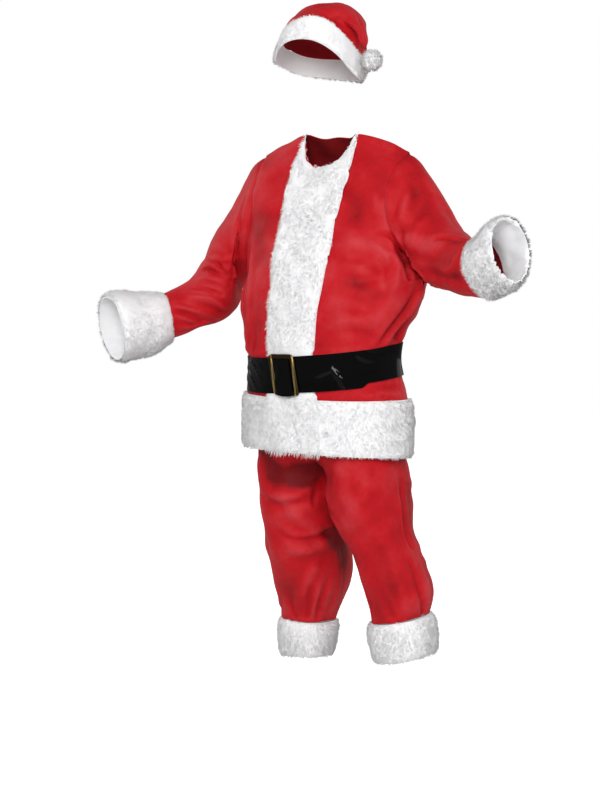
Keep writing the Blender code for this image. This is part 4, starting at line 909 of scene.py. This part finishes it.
# Rings of the band and of the crown by their right and left ends, x and height above the
# floor, their middle's y and reach to the front and back, how much higher the front is than
# the middle, how far both ends droop below it, and how far the front is skewed, down at its
# right and up at its left. The crown slumps to the left. All are in millimetres.
CAP_BAND_RINGS = ((-119, 1752, 84, 1722, -22, 108, 38, 26, 20),
                  (-117, 1777, 89, 1747, -12, 107, 40, 30, 21),
                  (-113, 1802, 93, 1774, -2, 105, 41, 34, 22))
CROWN_RINGS = ((-113, 1802, 93, 1774, -2, 105, 41, 34, 22),
               (-113, 1813, 92, 1781, 0, 104, 37, 27, 18),
               (-109, 1825, 90, 1787, 2, 102, 32, 20, 14), (-89, 1846, 87, 1798, 3, 95, 20, 8, 6),
               (-50, 1861, 84, 1803, 3, 84, 10, 0, 0), (2, 1876, 83, 1805, 2, 70, 4, 0, 0),
               (47, 1873, 84, 1803, 0, 54, 0, 0, 0), (80, 1847, 89, 1797, -3, 39, 0, 0, 0),
               (99, 1809, 96, 1784, -8, 26, 0, 0, 0), (109, 1778, 104, 1766, -12, 14, 0, 0, 0),
               (113, 1757, 109, 1755, -13, 4, 0, 0, 0))
CAP_COLUMNS = 24
BAND_PILE = 0.008                        # how deep the fur of the cap's band is


def cap_swell(points):
    """The cap's slack, in its cloth and in the band sewn to it."""
    return ripples(points, 91, 0.08, 0.0012)


def ring_grid(rings, columns, name):
    """A mesh through the chosen columns of the rings, its outside turned out."""
    points = []
    for right_x, right_h, left_x, left_h, middle_y, reach, rise, droop, skew in rings:
        for column in columns:
            angle = 2 * math.pi * column / CAP_COLUMNS
            rightward, forward = math.cos(angle), math.sin(angle)
            share = (1 + rightward) / 2
            height = (left_h + (right_h - left_h) * share + rise * forward
                      - droop * rightward ** 2 - skew * 2 * rightward * max(forward, 0.0))
            points.append((left_x + (right_x - left_x) * share, middle_y - reach * forward,
                           height - HELD_HEIGHT))
    width = len(columns)
    faces = [(i * width + j, i * width + j + 1, (i + 1) * width + j + 1, (i + 1) * width + j)
             for i in range(len(rings) - 1) for j in range(width - 1)]
    mesh = bpy.data.meshes.new(name)
    mesh.from_pydata((np.array(points) / 1000).tolist(), [], faces)
    return mesh


cap = {"cap_front": range(CAP_COLUMNS // 2 + 1),
       "cap_back": range(CAP_COLUMNS // 2, CAP_COLUMNS + 1)}
pieces = [smoothed(ring_grid(CROWN_RINGS, columns, node), 2) for node, columns in cap.items()]
creased(pieces, CAP_FOLDS, cap_swell)
for piece, node, flat, area, rests in zip(pieces, cap, ((0.36, 0.16), (0.38, 0.19)),
                                          (0.033, 0.044), ("plush_cap_back", "plush_cap_front")):
    fitted(piece, node, "plush_" + node)

band = ring_grid(CAP_BAND_RINGS, range(CAP_COLUMNS + 1), "cap_band")
shape = joined(band)
shape.to_mesh(band)
shape.free()
band = smoothed(band, 3)
put(band, points_of(band) + normals_of(band) * BAND_PILE)
fur_trim("cap_band", (0.66, 0.058), 0.0377, (), cap_swell,
         (0, 0, -0.2), 95, laid=(band, np.full(len(points_of(band)), BAND_PILE)))

# ---------------------------------------------------------------- pompom
# A stuffed ball of the same fur, sewn to the cap's point. Round its uneven core the hair draws
# into tufts that lean every way.
BALL_LOCKS, BALL_TUFTS = 7000, 240       # locks of hair, and the tufts that they draw into
solid = points_of(frame["nodes"]["cap_pompom"])
ball_centre = (solid.min(axis=0) + solid.max(axis=0)) / 2
ball_radius = (solid.max(axis=0) - solid.min(axis=0)) / 2
bpy.ops.mesh.primitive_ico_sphere_add(subdivisions=5, radius=1.0)
ball = bpy.context.object
round_way = points_of(ball)
core = ball_radius * 0.76 * (1 + ripples(round_way, 97, 1.1, 0.05))[:, None]
put(ball, ball_centre + round_way * core)
ball.data.shade_smooth()
ball.data.materials.append(fur)
# The core is painted nearly as white as the tips, with little painted shade.
record(ball, "painted_root_shade_and_tone", np.full(len(core), 0.95))
chance = np.random.default_rng(98)
ways = chance.normal(size=(BALL_LOCKS, 3))
ways /= np.linalg.norm(ways, axis=1, keepdims=True)
tufts = tree_of(ways[:BALL_TUFTS])
owner = np.array([tufts.find(way)[1] for way in ways])
lie = 0.45 * chance.normal(size=ways.shape)[owner] + 0.12 * chance.normal(size=ways.shape)
leans = ways * 0.8 + lie + (0, 0, -0.15)
leans /= np.linalg.norm(leans, axis=1, keepdims=True)
faced = ways + 0.15 * lie
faced /= np.linalg.norm(faced, axis=1, keepdims=True)
hair = spikes("hair_pompom", ball_centre + ways * ball_radius * 0.72, leans,
              ball_radius.mean() * chance.uniform(0.25, 0.4, len(ways))
              * chance.uniform(0.75, 1.25, len(ways))[owner],
              LOCK_WIDTH * chance.uniform(0.9, 1.3, len(ways)), faced,
              chance.uniform(0.9, 1.15, len(ways))[owner])
fitted(ball, "cap_pompom", "pompom")
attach(hair, "root")

# ---------------------------------------------------------------- belt strap
# A wide strap of black patent vinyl on a cloth backing, 2 mm thick. It is thin and glossy, so
# it rumples where it is bent, and each rumple shows as a thin bright streak.
BELT_FOLDS = (
    (104, -142, 1000, 120, -134, 980, 135, -128, 950, 4, 4.6, 0.2, 0.1, 0.1, 0.2),
    (60, -158, 984, 84, -150, 992, 106, -142, 1004, 6, 1.6, 0.5, 0.3, 0.0, 0.3),
    (150, -112, 1046, 168, -94, 1026, 190, -60, 1020, 8, 1.2, 0.4, 0.4, 0.2, 0.4),
    (156, -106, 1000, 176, -84, 996, 192, -50, 1006, 8, 0.8, 0.4, 0.4, 0.2, 0.4),
    (-172, -92, 1024, -132, -128, 1006, -94, -148, 972, 4, 3.2, 0.1, 0.0, 0.3, 0.4),
    (-174, -90, 1000, -150, -118, 982, -111, -141, 946, 4, 3.0, 0.0, 0.0, 0.3, 0.3),
    (-160, -106, 1032, -120, -136, 1018, -92, -148, 996, 4, 2.6, 0.0, 0.0, 0.3, 0.3),
    (-180, -80, 984, -164, -104, 966, -140, -124, 944, 4, 2.4, 0.0, 0.0, 0.3, 0.4),
    (40, 116, 1000, 90, 114, 1024, 150, 92, 1016, 9, 2.2, 0.4, 0.4, 0.2, 0.2),
    (-140, 104, 1010, -90, 112, 990, -30, 116, 1004, 9, 1.8, 0.4, 0.4, 0.2, 0.2),
    (-196, 20, 1020, -194, 40, 985, -180, 66, 960, 7, 2.2, 0.4, 0.4, 0.4, 0.3),
)
STRAP_WALL = 0.0022
PATENT_WAVE = 1 / 60                     # 17 mm: the faint unevenness under the gloss

patent, shader = finish_named("black_patent_vinyl", "#030304", 0.3, Coat_Weight=0.35,
                              Coat_Roughness=0.09, Coat_IOR=1.4, Specular_IOR_Level=0.0)
place = add(patent, "ShaderNodeTexCoord").outputs["Object"]
wave = add(patent, "ShaderNodeTexNoise", {"Vector": place, "Scale": 0.5 / PATENT_WAVE,
                                          "Detail": 1.0})
bump = add(patent, "ShaderNodeBump", {"Height": wave.outputs["Fac"], "Strength": 0.02,
                                      "Distance": 0.003})
patent.node_tree.links.new(bump.outputs[0], shader.inputs["Normal"])
patent.node_tree.links.new(bump.outputs[0], shader.inputs["Coat Normal"])

# Its lower edge rides up where it goes round the wearer's left side. It lies on what is under
# it, so its folds stand out from there and hardly sink in.
strap = smoothed(outer_face("belt_strap"), 3)
at = points_of(strap)
level = at[:, 2] * 1000 + HELD_HEIGHT - at[:, :2] @ BELT_TILT * 1000
low_share = np.clip((1015 - level) / 62, 0, 1)
turned_up = ease((at[:, 0] - 0.166) / 0.012) * ease((0.12 - at[:, 1]) / 0.08) * low_share ** 1.5
put(strap, swayed(at))
at, out = points_of(strap), normals_of(strap)
lift = (np.maximum(fold_depth(at, out, BELT_FOLDS), -0.0003) + ripples(at, 101, 0.09, 0.0003)
        + 0.0010)
outside = at + out * lift[:, None]
outside[:, 2] += 0.010 * turned_up
closed_shell(strap, outside, outside - out * STRAP_WALL)
strap.data.materials.append(patent)
fitted(strap, "belt_strap", "patent_strap")

# ---------------------------------------------------------------- end of the strap
# The strap's free end, threaded through the buckle over its hidden middle bar. It bulges
# between the side bars and rolls over the lower one.
END_FOLDS = (
    (-32, -172, 1018, -30, -174, 990, -36, -174, 958, 6, 1.2, 0.4, 0.4, 0.2, 0.4),
    (-10, -174, 1010, -14, -176, 985, -8, -175, 955, 6, -1.0, 0.4, 0.4, 0.3, 0.3),
)
BUCKLE_MIDDLE = np.array([-0.014, -0.168, -0.572])
BUCKLE_PLACE = swayed(BUCKLE_MIDDLE[None])[0]
BUCKLE_LEAN, BUCKLE_TIP = 0.13, 0.06     # how far its sides lean, and its bars fall to the left
BUCKLE_SHORTER = 0.04                    # and how much less tall it is worn


def racked(points):
    """Points of the buckle and the strap's end, moved with the belt and pulled askew by it."""
    offset = points - BUCKLE_MIDDLE
    moved = points + (BUCKLE_PLACE - BUCKLE_MIDDLE)
    moved[:, 0] -= BUCKLE_LEAN * offset[:, 2]
    moved[:, 2] -= BUCKLE_TIP * offset[:, 0] + BUCKLE_SHORTER * offset[:, 2]
    return moved


tongue = smoothed(outer_face("belt_end"), 3)
put(tongue, racked(points_of(tongue)))
at, out = points_of(tongue), normals_of(tongue)
outside = at + out * fold_depth(at, out, END_FOLDS)[:, None]
closed_shell(tongue, outside, outside - out * STRAP_WALL)
tongue.data.materials.append(patent)
fitted(tongue, "belt_end", "patent_strap_end")

# ---------------------------------------------------------------- slide buckle
# A cast zinc frame with an aged brass plating: bright along its two raised ridges and brown
# between them, where the lacquer has darkened, and dark along the top bar.
BAR_OFFSET = 0.0305                      # from the buckle's middle line to the side bars
BRIGHT_HALF, DARK_HALF = 0.0012, 0.0036  # bright up to here beside that, and dark from there
TOP_BAR = (-0.529, -0.524)               # the levels over which the dark of the top bar starts
BRASS_STAIN = 1 / 180                    # 5.6 mm
brass, shader = finish_named("aged_brass_plating", "#8C7437", 0.34, Metallic=1.0)
place = add(brass, "ShaderNodeTexCoord").outputs["Object"]
stain = add(brass, "ShaderNodeTexNoise", {"Vector": place, "Scale": 0.5 / BRASS_STAIN,
                                          "Detail": 3.0})
level = add(brass, "ShaderNodeSeparateXYZ", {0: place})
slant = add(brass, "ShaderNodeMath",
            {0: level.outputs["Z"], 1: BUCKLE_LEAN,
             2: -BUCKLE_PLACE[0] - BUCKLE_LEAN * BUCKLE_PLACE[2]}, operation="MULTIPLY_ADD")
aside = add(brass, "ShaderNodeMath", {0: level.outputs["X"], 1: slant.outputs[0]})
aside = add(brass, "ShaderNodeMath", {0: aside.outputs[0]}, operation="ABSOLUTE")
aside = add(brass, "ShaderNodeMath", {0: aside.outputs[0], 1: BAR_OFFSET}, operation="SUBTRACT")
aside = add(brass, "ShaderNodeMath", {0: aside.outputs[0]}, operation="ABSOLUTE")
flank = add(brass, "ShaderNodeMapRange", {"Value": aside.outputs[0], "From Min": BRIGHT_HALF,
                                          "From Max": DARK_HALF})
top = add(brass, "ShaderNodeMapRange", {"Value": level.outputs["Z"], "From Min": TOP_BAR[0],
                                        "From Max": TOP_BAR[1]})
dark = add(brass, "ShaderNodeMath", {0: flank.outputs[0], 1: top.outputs[0]},
           operation="MAXIMUM")
dark = add(brass, "ShaderNodeMath", {0: stain.outputs["Fac"], 1: 0.5, 2: dark.outputs[0]},
           operation="MULTIPLY_ADD", use_clamp=True)
metal = add(brass, "ShaderNodeMix", {0: dark.outputs[0], 6: linear("#CDB26A"),
                                     7: linear("#3B3020")}, data_type="RGBA")
brass.node_tree.links.new(metal.outputs[2], shader.inputs["Base Color"])
for node in ("buckle_frame", "buckle_bar"):
    mesh = frame["nodes"][node].data.copy()
    shape = joined(mesh)
    shape.to_mesh(mesh)
    shape.free()
    piece = placed(node, mesh)
    put(piece, racked(points_of(piece)))
    mesh.shade_smooth()
    mesh.set_sharp_from_angle(angle=math.radians(50))
    mesh.materials.clear()
    mesh.materials.append(brass)
    fitted(piece, node, "brass_" + node)

# ---------------------------------------------------------------- camera, light and floor
# Soft daylight-white studio light from large diffusers in front, at the sides and behind, on
# a pale seamless floor before a white backdrop.


def aimed(name, data, place, middle):
    """A camera or lamp at the place, turned to face the middle."""
    made = placed(name, data)
    made.location = place
    facing = Vector(middle) - made.location
    made.rotation_euler = facing.to_track_quat("-Z", "Y").to_euler()
    return made


scene = bpy.context.scene
scene.view_settings.view_transform = "Standard"
eye = bpy.data.cameras.new("eye")
eye.sensor_fit = "VERTICAL"
eye.sensor_height = 36.0
eye.lens = 92.74
scene.camera = aimed("camera", eye, (2.8102, -4.1362, -0.36), (-0.0577, -0.0404, -0.6415))

FLOOR = -HELD_HEIGHT / 1000
bpy.ops.mesh.primitive_circle_add(vertices=96, radius=14.0, fill_type="NGON",
                                  location=(0, 0, FLOOR))
floor = bpy.context.object
floor.name = "floor"
paper, shader = finish_named("matt_studio_paper", "#E4E4E4", 0.9, Specular_IOR_Level=0.1,
                             Emission_Color=linear("#FFFFFF"))
seen = add(paper, "ShaderNodeLightPath")
glow = add(paper, "ShaderNodeMath", {0: seen.outputs["Is Camera Ray"], 1: 0.93},
           operation="MULTIPLY")
paper.node_tree.links.new(glow.outputs[0], shader.inputs["Emission Strength"])
floor.data.materials.append(paper)

world = bpy.data.worlds.new("studio")
scene.world = world
world.use_nodes = True
sky = world.node_tree.nodes["Background"]
sky.inputs["Color"].default_value = linear("#FFFFFF")
seen = add(world, "ShaderNodeLightPath")
# The room adds a little light all round, and the backdrop behind the costume is plain white.
brightness = add(world, "ShaderNodeMapRange", {"Value": seen.outputs["Is Camera Ray"],
                                               "To Min": 0.38, "To Max": 1.0})
world.node_tree.links.new(brightness.outputs[0], sky.inputs["Strength"])

for name, place, size, power in (("key", (2.65, -4.95, 1.5), 2.1, 228),
                                 ("strip", (3.6, -1.4, 0.9), 0.3, 22),
                                 ("glow_left", (-3.0, -0.3, 0.9), 2.2, 40),
                                 ("glow_back", (1.2, 3.2, 0.5), 2.4, 26)):
    lamp = bpy.data.lights.new(name, "AREA")
    lamp.size, lamp.energy = size, power
    aimed(name, lamp, place, (0.0, 0.0, -0.5))
